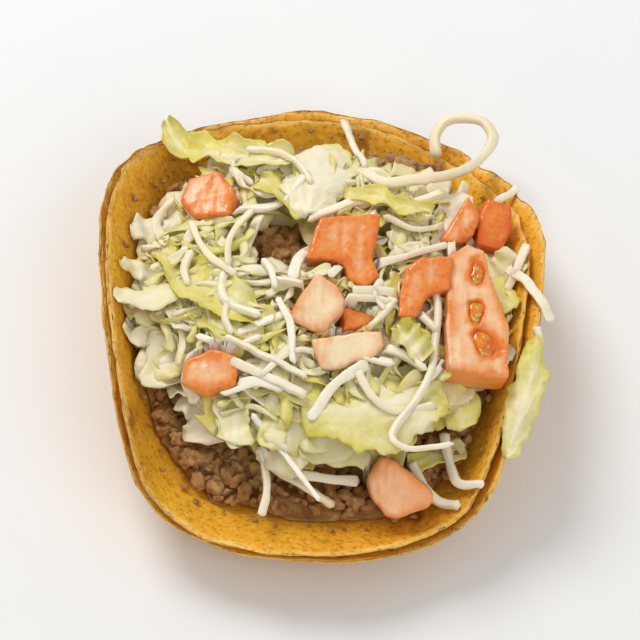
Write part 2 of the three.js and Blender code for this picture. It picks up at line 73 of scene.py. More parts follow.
# The half-width and half-length of each pile of beef, and how far it falls off at its edge.
MOUND_SPREAD, MOUND_FALL = (1.274 * MOUND_RADIUS, 1.666 * MOUND_RADIUS), 4.802
PILE_SPREAD, PILE_FALL = (13.0, 6.5), 4.0
CRUMBS, MOUND_CRUMBS, STRAY_CRUMBS, PILE_CRUMBS = 590, 90, 60, 45
# The least and greatest radius of each kind of crumb.
CRUMB_SIZES, MOUND_SIZES, STRAY_SIZES, PILE_SIZES = (1.1, 2.6), (1.4, 2.7), (0.35, 0.9), (1.3, 2.5)
# Where no shred is scattered and beef shows: x, y, half-width and half-length.
BARE_SPOTS = np.array([[*MOUND[:2], 6.4, 8.8], [*PILE[:2], 15.0, 9.0]])


# --------------- numbers

# Odd factors that mix a lattice corner's whole coordinates, its seed and the bits of their sum.
CORNER_FACTORS = (374761393, 668265263, 1442695041)
SEED_FACTOR, BIT_FACTOR = 974711, 1274126177


def smoothstep(value, low, high):
    x = np.clip((value - low) / (high - low), 0, 1)
    return x * x * (3 - 2 * x)


def triples(x, y, z=0.0):
    """Points from their x, y and z, in the shape that these share."""
    return np.stack(np.broadcast_arrays(x, y, z), axis=-1).astype(float)


def unit(vectors):
    return vectors / np.maximum(np.linalg.norm(vectors, axis=-1, keepdims=True), 1e-9)


def lattice_noise(points, seed):
    """Smooth noise between -1 and 1 with features one unit across."""
    whole = np.floor(points).astype(np.int64)
    part = points - whole
    part = part * part * (3 - 2 * part)
    total = np.zeros(len(points))
    for corner in np.ndindex(2, 2, 2):
        mixed = ((whole + corner) * CORNER_FACTORS).sum(axis=1) + seed * SEED_FACTOR
        mixed = (mixed ^ (mixed >> 13)) * BIT_FACTOR
        mixed = (mixed ^ (mixed >> 16)) & 0xFFFF
        total += np.prod(np.where(corner, part, 1 - part), axis=1) * (mixed / 32767.5 - 1)
    return total


def noise(points, size, seed=0, octaves=3):
    """Fractal noise, about -1 to 1, with its largest features `size` mm across."""
    points = np.asarray(points, float)
    rows = points.reshape(-1, 3)
    total = np.zeros(len(rows))
    share = 0.5
    for octave in range(octaves):
        total += share * lattice_noise(rows / size + 17.3 * octave, seed + octave)
        size *= 0.5
        share *= 0.5
    return (total * 1.6).reshape(points.shape[:-1])


def unevenness(x, y, size):
    """Gentle waves between -1 and 1, about `size` mm long."""
    a = np.sin(2 * np.pi * (x + 0.4 * y) / size + 1.3)
    b = np.sin(2 * np.pi * (y - 0.3 * x) / (1.3 * size) + 4.1)
    c = np.sin(2 * np.pi * (x + 1.7 * y) / (1.6 * size))
    return (a + b + c) / 3


def spiral(count, inner=0.0):
    """Places spread evenly over a disc of radius 1, outside `inner`: how far out each is, and its angle."""
    for i in range(count):
        yield math.sqrt(inner ** 2 + (1 - inner ** 2) * (i + 0.5) / count), i * GOLDEN_ANGLE


def angles_round(count):
    return np.linspace(0, 2 * math.pi, count, endpoint=False)


def path_length(path):
    return np.linalg.norm(np.diff(path, axis=0), axis=1).sum()


def smooth_path(points, count):
    """`count` evenly spaced points on a Catmull-Rom curve through `points`."""
    points = np.asarray(points, float)
    padded = np.vstack([2 * points[0] - points[1], points, 2 * points[-1] - points[-2]])
    fine = []
    for i in range(1, len(padded) - 2):
        a, b, c, d = padded[i - 1:i + 3]
        for t in np.linspace(0, 1, 16, endpoint=False):
            fine.append(0.5 * (2 * b + (c - a) * t + (2 * a - 5 * b + 4 * c - d) * t ** 2
                               + (3 * b - a - 3 * c + d) * t ** 3))
    fine = np.array(fine + [points[-1]])
    gone = np.concatenate([[0], np.cumsum(np.linalg.norm(np.diff(fine, axis=0), axis=1))])
    wanted = np.linspace(0, gone[-1], count)
    return np.stack([np.interp(wanted, gone, fine[:, k]) for k in range(fine.shape[1])], axis=1)


# --------------- meshes

def grid_faces(rows, columns, wrap=False, first=0, flip=False):
    """Quads of a grid of vertices, row by row; wrap joins the last column to the first."""
    r, c = np.indices((rows - 1, columns if wrap else columns - 1)).reshape(2, -1)
    d = (c + 1) % columns
    quads = np.stack([r * columns + c, r * columns + d, (r + 1) * columns + d, (r + 1) * columns + c], axis=1)
    return (quads[:, ::-1] if flip else quads) + first


def ring_faces(first, second):
    """Quads between two closed loops of vertex numbers."""
    return np.stack([first, np.roll(first, -1), np.roll(second, -1), second], axis=1)


def sphere(level):
    """A unit sphere of triangles, split `level` times."""
    ball = bmesh.new()
    bmesh.ops.create_icosphere(ball, subdivisions=level, radius=1)
    points = np.array([v.co[:] for v in ball.verts])
    faces = np.array([[v.index for v in f.verts] for f in ball.faces])
    ball.free()
    return points, faces


BALL, SMALL_BALL = sphere(3), sphere(2)


def add_object(name, data):
    """An object in the scene for a mesh, a light or a camera."""
    thing = bpy.data.objects.new(name, data)
    bpy.context.scene.collection.objects.link(thing)
    return thing


class Shape:
    """Vertices in mm, faces and named numbers for each vertex, gathered into one piece."""

    def __init__(self):
        self.points, self.faces, self.marks, self.count = [], [], [], 0

    def add(self, points, faces, **marks):
        """Adds points, as rows or as a grid, with faces that number them from 0."""
        points = points.reshape(-1, 3)
        self.points.append(points)
        for block in (faces if isinstance(faces, list) else [faces]):
            self.faces.append(block + self.count)
        self.marks.append({key: np.broadcast_to(np.ravel(mark), len(points)) for key, mark in marks.items()})
        self.count += len(points)

    def make(self, name, material, slot, node):
        """Makes the piece, which rides on the root and replaces a node's solid."""
        mesh = bpy.data.meshes.new(name)
        faces = [face for block in self.faces for face in block.tolist()]
        mesh.from_pydata((np.vstack(self.points) * MM).tolist(), [], faces)
        for key in sorted(self.marks[0]):
            layer = mesh.attributes.new(key, "FLOAT", "POINT")
            layer.data.foreach_set("value", np.concatenate([marks[key] for marks in self.marks]))
        mesh.polygons.foreach_set("use_smooth", [True] * len(mesh.polygons))
        mesh.materials.append(material)
        piece = add_object(name, mesh)
        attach(piece, "root")
        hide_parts(node)


# --------------- material nodes

def new_material(name, roughness, scattered=None, **sockets):
    """A Principled material; returns it with its node tree and shader.

    `scattered` is the share of light that scatters inside, how far red, green and blue go, and their scale.
    """
    material = bpy.data.materials.new(name)
    material.use_nodes = True
    tree = material.node_tree
    shader = tree.nodes["Principled BSDF"]
    shader.inputs["Roughness"].default_value = roughness
    if scattered:
        sockets.update(zip(("Subsurface Weight", "Subsurface Radius", "Subsurface Scale"), scattered))
    for key, value in sockets.items():
        shader.inputs[key.replace("_", " ")].default_value = value
    return material, tree, shader


def colour(red, green, blue):
    """A linear colour from 0-255 display values."""
    def linear(value):
        value /= 255
        return value / 12.92 if value <= 0.04045 else ((value + 0.055) / 1.055) ** 2.4
    return (linear(red), linear(green), linear(blue), 1.0)


def feed(tree, socket, value):
    """Links a node's output to a socket, or sets the socket to a number or a display colour."""
    if isinstance(value, bpy.types.NodeSocket):
        tree.links.new(value, socket)
    else:
        socket.default_value = colour(*value) if isinstance(value, tuple) else value


def texture_node(tree, kind, size, **inputs):
    """A texture in object space with features `size` mm across."""
    node = tree.nodes.new(kind)
    inputs["Scale"] = 1 / (size * MM)
    inputs["Vector"] = tree.nodes.new("ShaderNodeTexCoord").outputs["Object"]
    for key, value in inputs.items():
        feed(tree, node.inputs[key], value)
    return node


def noise_node(tree, size, detail, roughness, distortion=0.0):
    node = texture_node(tree, "ShaderNodeTexNoise", size, Detail=detail, Roughness=roughness,
                        Distortion=distortion)
    return node.outputs["Fac"]


def cells_node(tree, size, low, high):
    return range_node(tree, texture_node(tree, "ShaderNodeTexVoronoi", size).outputs["Distance"], low, high)


def clouds_node(tree, size, detail, roughness, low, high, distortion=0.0):
    """Noise spread out so that `low` and less become 0, and `high` and more become 1."""
    return range_node(tree, noise_node(tree, size, detail, roughness, distortion), low, high)


def mark_node(tree, name):
    node = tree.nodes.new("ShaderNodeAttribute")
    node.attribute_name = name
    return node.outputs["Fac"]


def range_node(tree, value, low, high, to_low=0.0, to_high=1.0):
    node = tree.nodes.new("ShaderNodeMapRange")
    for socket, number in zip(node.inputs[:5], (value, low, high, to_low, to_high)):
        feed(tree, socket, number)
    return node.outputs["Result"]


def math_node(tree, operation, a, b):
    node = tree.nodes.new("ShaderNodeMath")
    node.operation = operation
    node.use_clamp = operation == "ADD"
    feed(tree, node.inputs[0], a)
    feed(tree, node.inputs[1], b)
    return node.outputs[0]


def mix_node(tree, share, first, second):
    node = tree.nodes.new("ShaderNodeMix")
    node.data_type = "RGBA"
    for number, value in ((0, share), (6, first), (7, second)):
        feed(tree, node.inputs[number], value)
    return node.outputs[2]


def layered(tree, base, *layers):
    """The base colour under layers, each a mask, the share of it that shows and its colour."""
    for mask, share, tone in layers:
        base = mix_node(tree, math_node(tree, "MULTIPLY", mask, share), base, tone)
    return base


def dress(tree, shader, base, relief=None, strength=1.0, height=1.0):
    """Gives the shader its colour and a relief `height` mm high."""
    feed(tree, shader.inputs["Base Color"], base)
    if relief is not None:
        node = tree.nodes.new("ShaderNodeBump")
        node.inputs["Strength"].default_value = strength
        node.inputs["Distance"].default_value = height * MM
        feed(tree, node.inputs["Height"], relief)
        feed(tree, shader.inputs["Normal"], node.outputs["Normal"])


# --------------- materials

def tortilla_material():
    """Yellow corn: `toast` is 1 on toasted spots, `rim` along the pale edge and `oil` where fat soaked in."""
    material, tree, shader = new_material(
        "tortilla", 0.62, (0.08, (0.003, 0.0015, 0.0005), 0.5), Specular_IOR_Level=0.22)
    clouds = clouds_node(tree, 22, 5, 0.6, 0.36, 0.64)
    patches = clouds_node(tree, 6, 6, 0.65, 0.42, 0.66)
    grain = clouds_node(tree, 1.3, 5, 0.7, 0.38, 0.66)
    flecks = clouds_node(tree, 1.9, 7, 0.8, 0.58, 0.66, 0.6)
    specks = clouds_node(tree, 2.6, 6, 0.75, 0.58, 0.68, 0.4)
    pits = cells_node(tree, 1.5, 0.0, 0.55)
    oil = mark_node(tree, "oil")
    toast = range_node(tree, mark_node(tree, "toast"), 0.1, 0.9)
    rim = range_node(tree, mark_node(tree, "rim"), 0.2, 1.0)
    base = layered(
        tree, mix_node(tree, clouds, (242, 178, 40), (224, 148, 16)),
        (patches, 0.6, (200, 124, 12)), (oil, 0.6, (188, 114, 20)), (grain, 0.55, (248, 198, 76)),
        (specks, 0.6, (250, 214, 112)), (flecks, 0.5, (172, 102, 18)), (toast, 1.0, (150, 88, 18)),
        (rim, 0.85, (248, 206, 116)))
    feed(tree, shader.inputs["Roughness"], range_node(tree, oil, 0.0, 1.0, 0.62, 0.36))
    relief = math_node(tree, "MULTIPLY", math_node(tree, "ADD", grain, pits), 0.5)
    dress(tree, shader, base, relief, 1.0, 0.8)
    return material


def beef_material():
    """Browned beef: `tone` runs from darker (0) to lighter (1) crumbs."""
    material, tree, shader = new_material("beef", 0.42, (0.08, (0.003, 0.0015, 0.001), 0.4))
    mottling = clouds_node(tree, 1.8, 6, 0.65, 0.35, 0.66)
    fat = clouds_node(tree, 1.1, 4, 0.6, 0.6, 0.72)
    base = layered(tree, mix_node(tree, mark_node(tree, "tone"), (196, 138, 72), (236, 188, 124)),
                   (mottling, 0.6, (136, 84, 34)), (fat, 0.8, (232, 196, 144)))
    dress(tree, shader, base, noise_node(tree, 0.9, 7, 0.75))
    return material


def lettuce_material():
    """Lettuce: `rib` runs from leaf green (0) to white rib (1); light shines through it."""
    material, tree, shader = new_material(
        "lettuce", 0.4, Specular_IOR_Level=0.4, Coat_Weight=0.06, Coat_Roughness=0.2)
    pale, green, deep, through = (254, 246, 218), (240, 228, 112), (220, 208, 62), 0.2
    leaf = mix_node(tree, clouds_node(tree, 7, 4, 0.6, 0.35, 0.7), green, deep)
    fine = clouds_node(tree, 1.4, 5, 0.65, 0.4, 0.7)
    base = layered(tree, mix_node(tree, mark_node(tree, "rib"), leaf, pale), (fine, 0.25, pale))
    dress(tree, shader, base, noise_node(tree, 1.8, 5, 0.65, 0.8), 0.55, 0.5)
    leaking = tree.nodes.new("ShaderNodeBsdfTranslucent")
    feed(tree, leaking.inputs["Color"], base)
    both = tree.nodes.new("ShaderNodeMixShader")
    for socket, value in zip(both.inputs, (through, shader.outputs[0], leaking.outputs[0])):
        feed(tree, socket, value)
    feed(tree, tree.nodes["Material Output"].inputs["Surface"], both.outputs[0])
    return material


def cheese_material():
    """White cheese: `tone` runs from whiter (0) to creamier (1) shreds."""
    material, tree, shader = new_material(
        "cheese", 0.48, (0.35, (0.004, 0.003, 0.002), 0.5), Specular_IOR_Level=0.4)
    stain = clouds_node(tree, 5, 4, 0.6, 0.5, 0.75)
    base = layered(tree, mix_node(tree, mark_node(tree, "tone"), (249, 241, 222), (241, 227, 194)),
                   (stain, 0.35, (226, 202, 148)))
    dress(tree, shader, base, noise_node(tree, 0.8, 6, 0.7), 0.6, 0.35)
    return material


def tomato_material():
    """Tomato: `skin` is 1 on the outer skin, `pale` in unripe flesh and painted light, `deep` in the ripest
    flesh and painted shade.
    """
    material, tree, shader = new_material(
        "tomato", 0.3, (0.3, (0.003, 0.0012, 0.0004), 0.5), Specular_IOR_Level=0.3, Coat_Weight=0.3,
        Coat_Roughness=0.08)
    cells = cells_node(tree, 1.3, 0.15, 0.6)
    streaks = clouds_node(tree, 3.2, 4, 0.6, 0.55, 0.7, 2.2)
    # The pale and deep marks also paint light: a painted highlight in the middle of each face and painted
    # shade on its sides.
    flesh = layered(
        tree, mix_node(tree, clouds_node(tree, 5, 5, 0.6, 0.35, 0.68), (230, 134, 50), (220, 104, 20)),
        (cells, 0.3, (242, 172, 100)), (streaks, 0.35, (244, 186, 116)),
        (mark_node(tree, "pale"), 1.0, (246, 224, 184)), (mark_node(tree, "deep"), 1.0, (224, 86, 2)))
    outer = mix_node(tree, clouds_node(tree, 9, 3, 0.5, 0.35, 0.7), (248, 164, 86), (242, 134, 58))
    base = mix_node(tree, mark_node(tree, "skin"), flesh, outer)
    dress(tree, shader, base, math_node(tree, "ADD", cells, noise_node(tree, 2.5, 4, 0.6)), 0.3, 0.3)
    return material


def gel_material():
    material, tree, shader = new_material(
        "tomato_gel", 0.12, (0.5, (0.005, 0.002, 0.0006), 0.5), Coat_Weight=0.6)
    base = mix_node(tree, clouds_node(tree, 2.5, 4, 0.6, 0.35, 0.7), (214, 98, 8), (244, 160, 40))
    dress(tree, shader, base, noise_node(tree, 1.5, 3, 0.5), 0.2, 0.2)
    return material


def seed_material():
    material, tree, shader = new_material("tomato_seed", 0.25, Subsurface_Weight=0.3, Coat_Weight=0.5)
    mottling = clouds_node(tree, 0.8, 3, 0.5, 0.4, 0.65)
    dress(tree, shader, mix_node(tree, mottling, (240, 190, 92), (214, 146, 48)))
    return material


TORTILLA = tortilla_material()
BEEF = beef_material()
CHEESE = cheese_material()
LETTUCE = lettuce_material()
TOMATO = tomato_material()
GEL = gel_material()
SEED = seed_material()


# --------------- height map of what lies on what

class Ground:
    """The height of the topmost surface at each plan position, as a grid, and where it is a topping."""

    half_width, half_length, cell = 75.0, 92.0, 0.5

    def __init__(self):
        size = (int(2 * self.half_length / self.cell) + 1, int(2 * self.half_width / self.cell) + 1)
        self.height = np.zeros(size)
        self.topping = np.zeros(size, bool)
        self.tortillas = self.height
        self.ceiling = np.full(size, np.inf)

    def index(self, x, y):
        column = np.clip(np.round((x + self.half_width) / self.cell), 0, self.height.shape[1] - 1)
        row = np.clip(np.round((y + self.half_length) / self.cell), 0, self.height.shape[0] - 1)
        return row.astype(int), column.astype(int)

    def keep_tortillas(self):
        """Notes the height of the tortillas, widened by a cell and smoothed."""
        height = self.height
        shifts = [(r, c) for r in (-1, 0, 1) for c in (-1, 0, 1)]
        height = np.max([np.roll(height, shift, (0, 1)) for shift in shifts], axis=0)
        for _ in range(3):
            height = np.mean([np.roll(height, shift, (0, 1)) for shift in shifts], axis=0)
        self.tortillas = np.maximum(height, self.height)

    def clear_of_tortillas(self, points, clear=0.25):
        """The points, lowered to stay under the ceiling and raised clear of the tortillas."""
        x, y, z = np.moveaxis(points, -1, 0)
        index = self.index(x, y)
        return triples(x, y, np.maximum(np.minimum(z, self.ceiling[index]), self.tortillas[index] + clear))

    def under(self, plan, half_width, only_tortillas=False):
        """The highest ground under a strip along a plan path."""
        forward = unit(np.gradient(plan, axis=0))
        aside = np.stack([-forward[:, 1], forward[:, 0]], axis=1) * half_width
        height = self.tortillas if only_tortillas else np.maximum(self.height, self.tortillas)
        places = [plan + side * aside for side in (-1, -0.5, 0, 0.5, 1)]
        return np.max([height[self.index(*place.T)] for place in places], axis=0)

    def cover(self, points, faces, topping=False):
        """Raises the ground to a surface of quads or triangles, sampled 4 by 4 in each face."""
        points = points.reshape(-1, 3)
        shares = np.linspace(0, 1, 4)
        for block in (faces if isinstance(faces, list) else [faces]):
            if block.shape[1] > 4:
                continue
            corners = points[block]
            a, b, c, d = corners[:, 0], corners[:, 1], corners[:, 2], corners[:, -1]
            for u in shares:
                for v in shares:
                    sample = (a * (1 - u) + b * u) * (1 - v) + (d * (1 - u) + c * u) * v
                    index = self.index(sample[:, 0], sample[:, 1])
                    np.maximum.at(self.height, index, sample[:, 2])
                    if topping:
                        self.topping[index] = True


ground = Ground()


# --------------- the cradle

def bend(distance, flat, arc, angle):
    """How far out and up a distance from the middle comes, and its slope: flat, an arc, then straight."""
    along = np.abs(distance)
    radius = arc / angle
    turn = np.clip((along - flat) / radius, 0, angle)
    straight = np.maximum(along - flat - arc, 0)
    out = np.where(along <= flat, along, flat + radius * np.sin(turn) + straight * np.cos(angle))
    up = radius * (1 - np.cos(turn)) + straight * np.sin(angle)
    return np.sign(distance) * out, up, np.sign(distance) * turn


def cradle(s, t, depth):
    """Points `depth` above the underside, at s across and t along a tortilla before it was curled."""
    flank_angle = np.radians(FLANK_ANGLE - FLANK_OPENING * t / RADIUS)
    x, x_up, x_slope = bend(s, FLANK_FLAT, FLANK_ARC, flank_angle)
    y, y_up, y_slope = bend(t, END_FLAT, END_ARC, END_ANGLE)
    normal = triples(-np.sin(x_slope) * np.cos(y_slope), -np.cos(x_slope) * np.sin(y_slope),
                     np.cos(x_slope) * np.cos(y_slope))
    out = np.hypot(s, t) / RADIUS
    ripple = 3 * np.maximum(out - 0.55, 0) * np.sin(5 * np.arctan2(t, s) + 0.6)
    return triples(x, y, x_up + y_up + ripple) + unit(normal) * np.asarray(depth)[..., None]


def pressed_outline(angle):
    return 1 + 0.009 * np.sin(3 * angle + 0.5) + 0.006 * np.sin(7 * angle)


def tortilla_profile(rings, lip_points):
    """Radius and height, 0 below and 1 on top, from the middle out, round the lip and back to the middle."""
    radii = RADIUS * (1 - (1 - np.linspace(0, 1, rings + 1)[1:]) ** 1.25)
    turn = np.linspace(-0.5 * math.pi, 0.5 * math.pi, lip_points + 2)[1:-1]
    across = np.concatenate([radii, RADIUS + 0.35 * THICKNESS * np.cos(turn) - 0.2, radii[::-1]])
    upper = np.concatenate([0 * radii, 0.5 + 0.5 * np.sin(turn), 0 * radii + 1])
    return across[:, None], upper[:, None]


def tortilla(name, node, inner, seed):
    """One tortilla with its pressed relief, crackled rim and toasted spots."""
    around, rings, lip_points = 264, 84, 7
    rim_from, thin_from, opening_from, shift_from = RADIUS - 8, RADIUS - 4, RADIUS - 18, RADIUS - 16
    across, upper = tortilla_profile(rings, lip_points)
    angle = angles_round(around)
    nearness = smoothstep(across, rim_from, RADIUS)
    ragged = 0.9 * noise(triples(np.cos(angle), np.sin(angle)) * RADIUS, 8, seed, 4) - 0.5
    radius = across * pressed_outline(angle) + nearness * ragged
    s, t = radius * np.cos(angle), radius * np.sin(angle)
    flat = triples(s, t, 40 * upper)

    thinning = 0.16 * THICKNESS * smoothstep(radius, thin_from, RADIUS)
    puffs = noise(flat, 13, seed + 3)
    grain = noise(flat, 1.5, seed + 9)
    cracks = np.abs(noise(flat * [1, 1, 0.5], 3.2, seed + 5))
    inward = np.where(upper > 0.5, -1.0, 1.0)
    depth = thinning + upper * (THICKNESS - 2 * thinning)
    depth = depth + inward * (0.25 + 0.25 * puffs + 0.13 * grain + 0.5 * nearness * cracks)
    middle_depth = np.array([0.12, THICKNESS - 0.12])
    if inner:
        out = np.hypot(s, t)
        facing = np.maximum(np.cos(np.arctan2(t, s) - RIM_OPENING_TOWARDS), 0) ** 4
        opening = (0.5 + RIM_OPENING * facing) * smoothstep(out, opening_from, RADIUS)
        depth = depth + opening + INNER_UNDERSIDE
        middle_depth = middle_depth + INNER_UNDERSIDE
        shift = smoothstep(out, shift_from, RADIUS)
        s, t = s + shift * INNER_SHIFT[0], t + shift * INNER_SHIFT[1]
    points = cradle(s, t, depth)
    points[..., 2] = np.maximum(points[..., 2], 0.0)
    middle = cradle(np.zeros(2), np.zeros(2), middle_depth)

    spots = smoothstep(noise(flat, 10, seed + 20), 0.35, 0.8)
    marks = {
        "toast": spots * (0.5 + 0.5 * noise(flat, 2.0, seed + 31, 2)),
        "rim": smoothstep(across, RADIUS - 2.2, RADIUS - 0.2) * (0.75 + 0.5 * noise(flat, 5, seed + 41)),
        "oil": upper * (1 - smoothstep(across, 48, 68)) * inner * (0.7 + 0.5 * noise(flat, 9, seed + 51))}
    marks = {key: np.append(np.clip(mark, 0, 1), [0, 0]) for key, mark in marks.items()}
    faces = grid_faces(len(across), around, wrap=True)
    low = len(across) * around
    first, last = np.arange(around), np.arange(low - around, low)
    fans = [np.stack([np.full(around, low), np.roll(first, -1), first], axis=1),
            np.stack([np.full(around, low + 1), last, np.roll(last, -1)], axis=1)]
    shape = Shape()
    shape.add(np.vstack([points.reshape(-1, 3), middle]), [faces] + fans, **marks)
    shape.make(name, TORTILLA, "tortilla", node)
    ground.cover(points, faces)


# --------------- ground beef

def beef_top(s, t):
    out = np.hypot(s, t) / BEEF_REACH
    return INNER_TOP + GAP + BEEF_THICKNESS * np.maximum(1 - out ** 3, 0) + 1 + 0.7 * unevenness(s, t, 19)


def beef_core():
    """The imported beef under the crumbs, with lumps of its own and a ragged edge."""
    around, rings = 220, 64
    angle = angles_round(around)
    radii = np.linspace(0.5, BEEF_RADIUS, rings)[:, None]
    circle = BEEF_RADIUS * triples(np.cos(angle), np.sin(angle))
    ragged = 0.05 * np.clip(0.5 + noise(circle, 6, 8), 0, 1)
    reach = radii * (1 - smoothstep(radii, 45, BEEF_RADIUS) * ragged)
    s, t = reach * np.cos(angle), reach * np.sin(angle)
    lumps = noise(triples(s, t), 4, 3, 4)
    lowered = 0.7 + 1.2 * smoothstep(radii, BEEF_RADIUS - 7.5, BEEF_RADIUS)
    points = cradle(s, t, np.maximum(beef_top(s, t) - lowered + 1.3 * lumps, INNER_TOP + GAP + 0.3))
    under = ground.clear_of_tortillas(cradle(s, t, INNER_TOP + GAP), 0.05)
    points[..., 2] = np.maximum(points[..., 2], under[..., 2] + 0.2)
    faces = grid_faces(rings, around, wrap=True, flip=True)
    core = Shape()
    core.add(points, faces, tone=np.clip(0.3 + 0.5 * lumps, 0, 1))
    core.add(under, faces[:, ::-1], tone=0.2)
    first, below = np.arange(around), rings * around
    last = first + (rings - 1) * around
    core.faces += [ring_faces(last + below, last), first[None, :], (first + below)[None, ::-1]]
    core.make("beef_core", BEEF, "beef", "beef")
    ground.cover(points, faces)


def crumb(shape, random, centre, radius):
    """One crumble: a ball swollen unevenly, with a grainy skin."""
    ball, faces = BALL if radius > 1 else SMALL_BALL
    angle = random.uniform(0, 6.3)
    turn = np.array(Matrix.Rotation(angle, 3, Vector(random.normal(size=3)).normalized()))
    offset = random.uniform(-500, 500, 3)
    stretch = random.uniform([0.8, 0.75, 0.65], [1.45, 1.1, 0.95])
    swell = 1 + 0.6 * noise(ball * 3.2 + offset, 2.6, 1, 2)
    swell = swell + 0.45 * noise(ball * radius + offset, 1.3, 2, 2)
    placed = ground.clear_of_tortillas((ball * swell[:, None] * stretch) @ turn.T * radius + centre)
    tone = random.uniform(0, 0.8) + 0.5 * (swell - 1)
    shape.add(placed, faces, tone=np.clip(tone, 0, 1))
    ground.cover(placed, faces)


def pile(shape, random, count, top, spread, fall, most_rise, radii):
    """A pile of crumbs, each up to `most_rise` above its rounded top or 1.5 below."""
    for out, turn in spiral(count):
        centre = [top[0] + spread[0] * out * math.cos(turn), top[1] + spread[1] * out * math.sin(turn),
                  top[2] - fall * out * out + random.uniform(-1.5, most_rise)]
        crumb(shape, random, np.array(centre), random.uniform(*radii))


def beef():
    """The beef: its core, the crumbs in the ring that the salad leaves bare, and those in heaps or astray."""
    beef_core()
    random = np.random.default_rng(5)
    crumbs, mound = Shape(), Shape()
    for out, turn in spiral(CRUMBS, BARE_RING[0] / BARE_RING[1]):
        reach = out * BARE_RING[1]
        s, t = np.array(reach * math.cos(turn)), np.array(reach * math.sin(turn))
        radius = random.uniform(*CRUMB_SIZES) * (1 - 0.2 * (reach > 58))
        crumb(crumbs, random, cradle(s, t, beef_top(s, t) + random.uniform(-0.9, 1.1)), radius)
    pile(mound, random, MOUND_CRUMBS, MOUND, MOUND_SPREAD, MOUND_FALL, 1.5, MOUND_SIZES)
    for _, turn in spiral(STRAY_CRUMBS):
        # A few small ones beside the rest, on the tortilla.
        reach = random.uniform(*STRAY_RING)
        size = random.uniform(*STRAY_SIZES)
        centre = cradle(np.array(reach * math.cos(turn)), np.array(reach * math.sin(turn)), INNER_TOP)
        centre[2] = ground.tortillas[ground.index(centre[0], centre[1])] + 0.6 * size
        crumb(mound, random, centre, size)
    pile(mound, random, PILE_CRUMBS, PILE, PILE_SPREAD, PILE_FALL, 1.0, PILE_SIZES)
    crumbs.make("beef_crumbles", BEEF, "beef", "beef")
    mound.make("beef_mound", BEEF, "beef", "beef")


# --------------- salad core

def salad_top(x, y):
    fall = 0.34 * (x / 55) ** 2 + 0.5 * (y / 68) ** 2
    outward = np.hypot(x / SALAD_HALF_WIDTH, y / SALAD_HALF_LENGTH)
    edge = 1 - 0.42 * smoothstep(outward, 0.82, 1.02)
    return SALAD_TOP * (1 - fall) * edge + 0.9 * unevenness(x, y, 23)


def salad_core():
    """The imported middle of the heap, a little lower than its solid, with the hollow where beef shows."""
    around, rings = 220, 76
    half_width, half_length, bottom = 44.0, 43.5, 9.0
    lowered, edge_fall, hollow_depth = 5.5, 9, 14
    angle = angles_round(around)
    share = np.linspace(0.01, 1, rings)[:, None]
    x, y = share * half_width * np.cos(angle), share * half_length * np.sin(angle)
    flat = triples(x, y)
    top = salad_top(x, y) - lowered - edge_fall * smoothstep(share, 0.8, 1)
    top = top + 1.6 * noise(flat, 5, 11)
    top = top + 1.8 * (0.4 - np.abs(noise(flat * [1, 0.5, 1], 3.4, 12, 2)))
    hollow = np.hypot((x - MOUND[0]) / MOUND_RADIUS, (y - MOUND[1]) / (1.35 * MOUND_RADIUS))
    top = top - hollow_depth * smoothstep(1.15 - hollow, 0, 0.4)
    points = ground.clear_of_tortillas(triples(x, y, top), 0.8)
    floor = ground.clear_of_tortillas(triples(x[-1], y[-1], bottom))
    shape = Shape()
    faces = grid_faces(rings, around, wrap=True, flip=True)
    first = np.arange(around)
    shape.add(points, faces, rib=np.clip(0.35 + 0.5 * noise(flat, 6, 4, 2), 0, 1))
    shape.add(floor, first[None, ::-1], rib=0.3)
    shape.faces += [ring_faces(first + rings * around, first + (rings - 1) * around), first[None, :]]
    shape.make("salad_core", LETTUCE, "lettuce", "salad")
    ground.cover(points, faces)


# --------------- strips

def path_frames(path):
    forward = unit(np.gradient(path, axis=0))
    aside = unit(np.cross(np.array([0, 0, 1.0]), forward) + 1e-6)
    return aside, np.cross(forward, aside)


def from_ends(share, size, power=0.5):
    """1 along most of a piece, falling at its ends over `size` of its length."""
    return np.clip(np.minimum(share, 1 - share) / size, 0.05, 1) ** power


def strip(path, half_width, half_thickness, roll, corners, squareness, taper):
    """A bar with a rounded rectangular section along a path; all but the last three may vary along it."""
    aside, normal = path_frames(path)
    turn = angles_round(corners)
    section_x = np.sign(np.cos(turn)) * np.abs(np.cos(turn)) ** (2 / squareness)
    section_y = np.sign(np.sin(turn)) * np.abs(np.sin(turn)) ** (2 / squareness)
    count = len(path)
    ending = from_ends(np.linspace(0, 1, count), taper / path_length(path))
    right = aside * np.cos(roll)[:, None] + normal * np.sin(roll)[:, None]
    up = -aside * np.sin(roll)[:, None] + normal * np.cos(roll)[:, None]
    points = (path[:, None, :] + right[:, None, :] * ((half_width * ending)[:, None] * section_x)[:, :, None]
              + up[:, None, :] * ((half_thickness * ending)[:, None] * section_y)[:, :, None])
    faces = [grid_faces(count, corners, wrap=True), np.arange(corners)[None, ::-1],
             (count - 1) * corners + np.arange(corners)[None, :]]
    return points.reshape(-1, 3), faces


def drape(plan, half_width, radius, above=4.0):
    """Heights that let a shred rest along a plan path, bridging hollows as it is stiff.

    A shred that would come more than `above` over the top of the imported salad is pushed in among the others.
    """
    stiffness, sag, tip_sag = 200, 0.02, 0.08
    most = salad_top(plan[:, 0], plan[:, 1]) + above
    resting = np.minimum(ground.under(plan, half_width) + radius, most)
    resting = np.maximum(resting, ground.under(plan, half_width, True) + radius)
    height = np.full(len(plan), resting.max())
    for _ in range(stiffness):
        eased = height.copy()
        eased[1:-1] = 0.5 * (height[:-2] + height[2:]) - sag
        eased[0] = height[1] - tip_sag
        eased[-1] = height[-2] - tip_sag
        height = np.maximum(resting, eased)
    for _ in range(6):
        height[1:-1] = 0.25 * height[:-2] + 0.5 * height[1:-1] + 0.25 * height[2:]
    return height


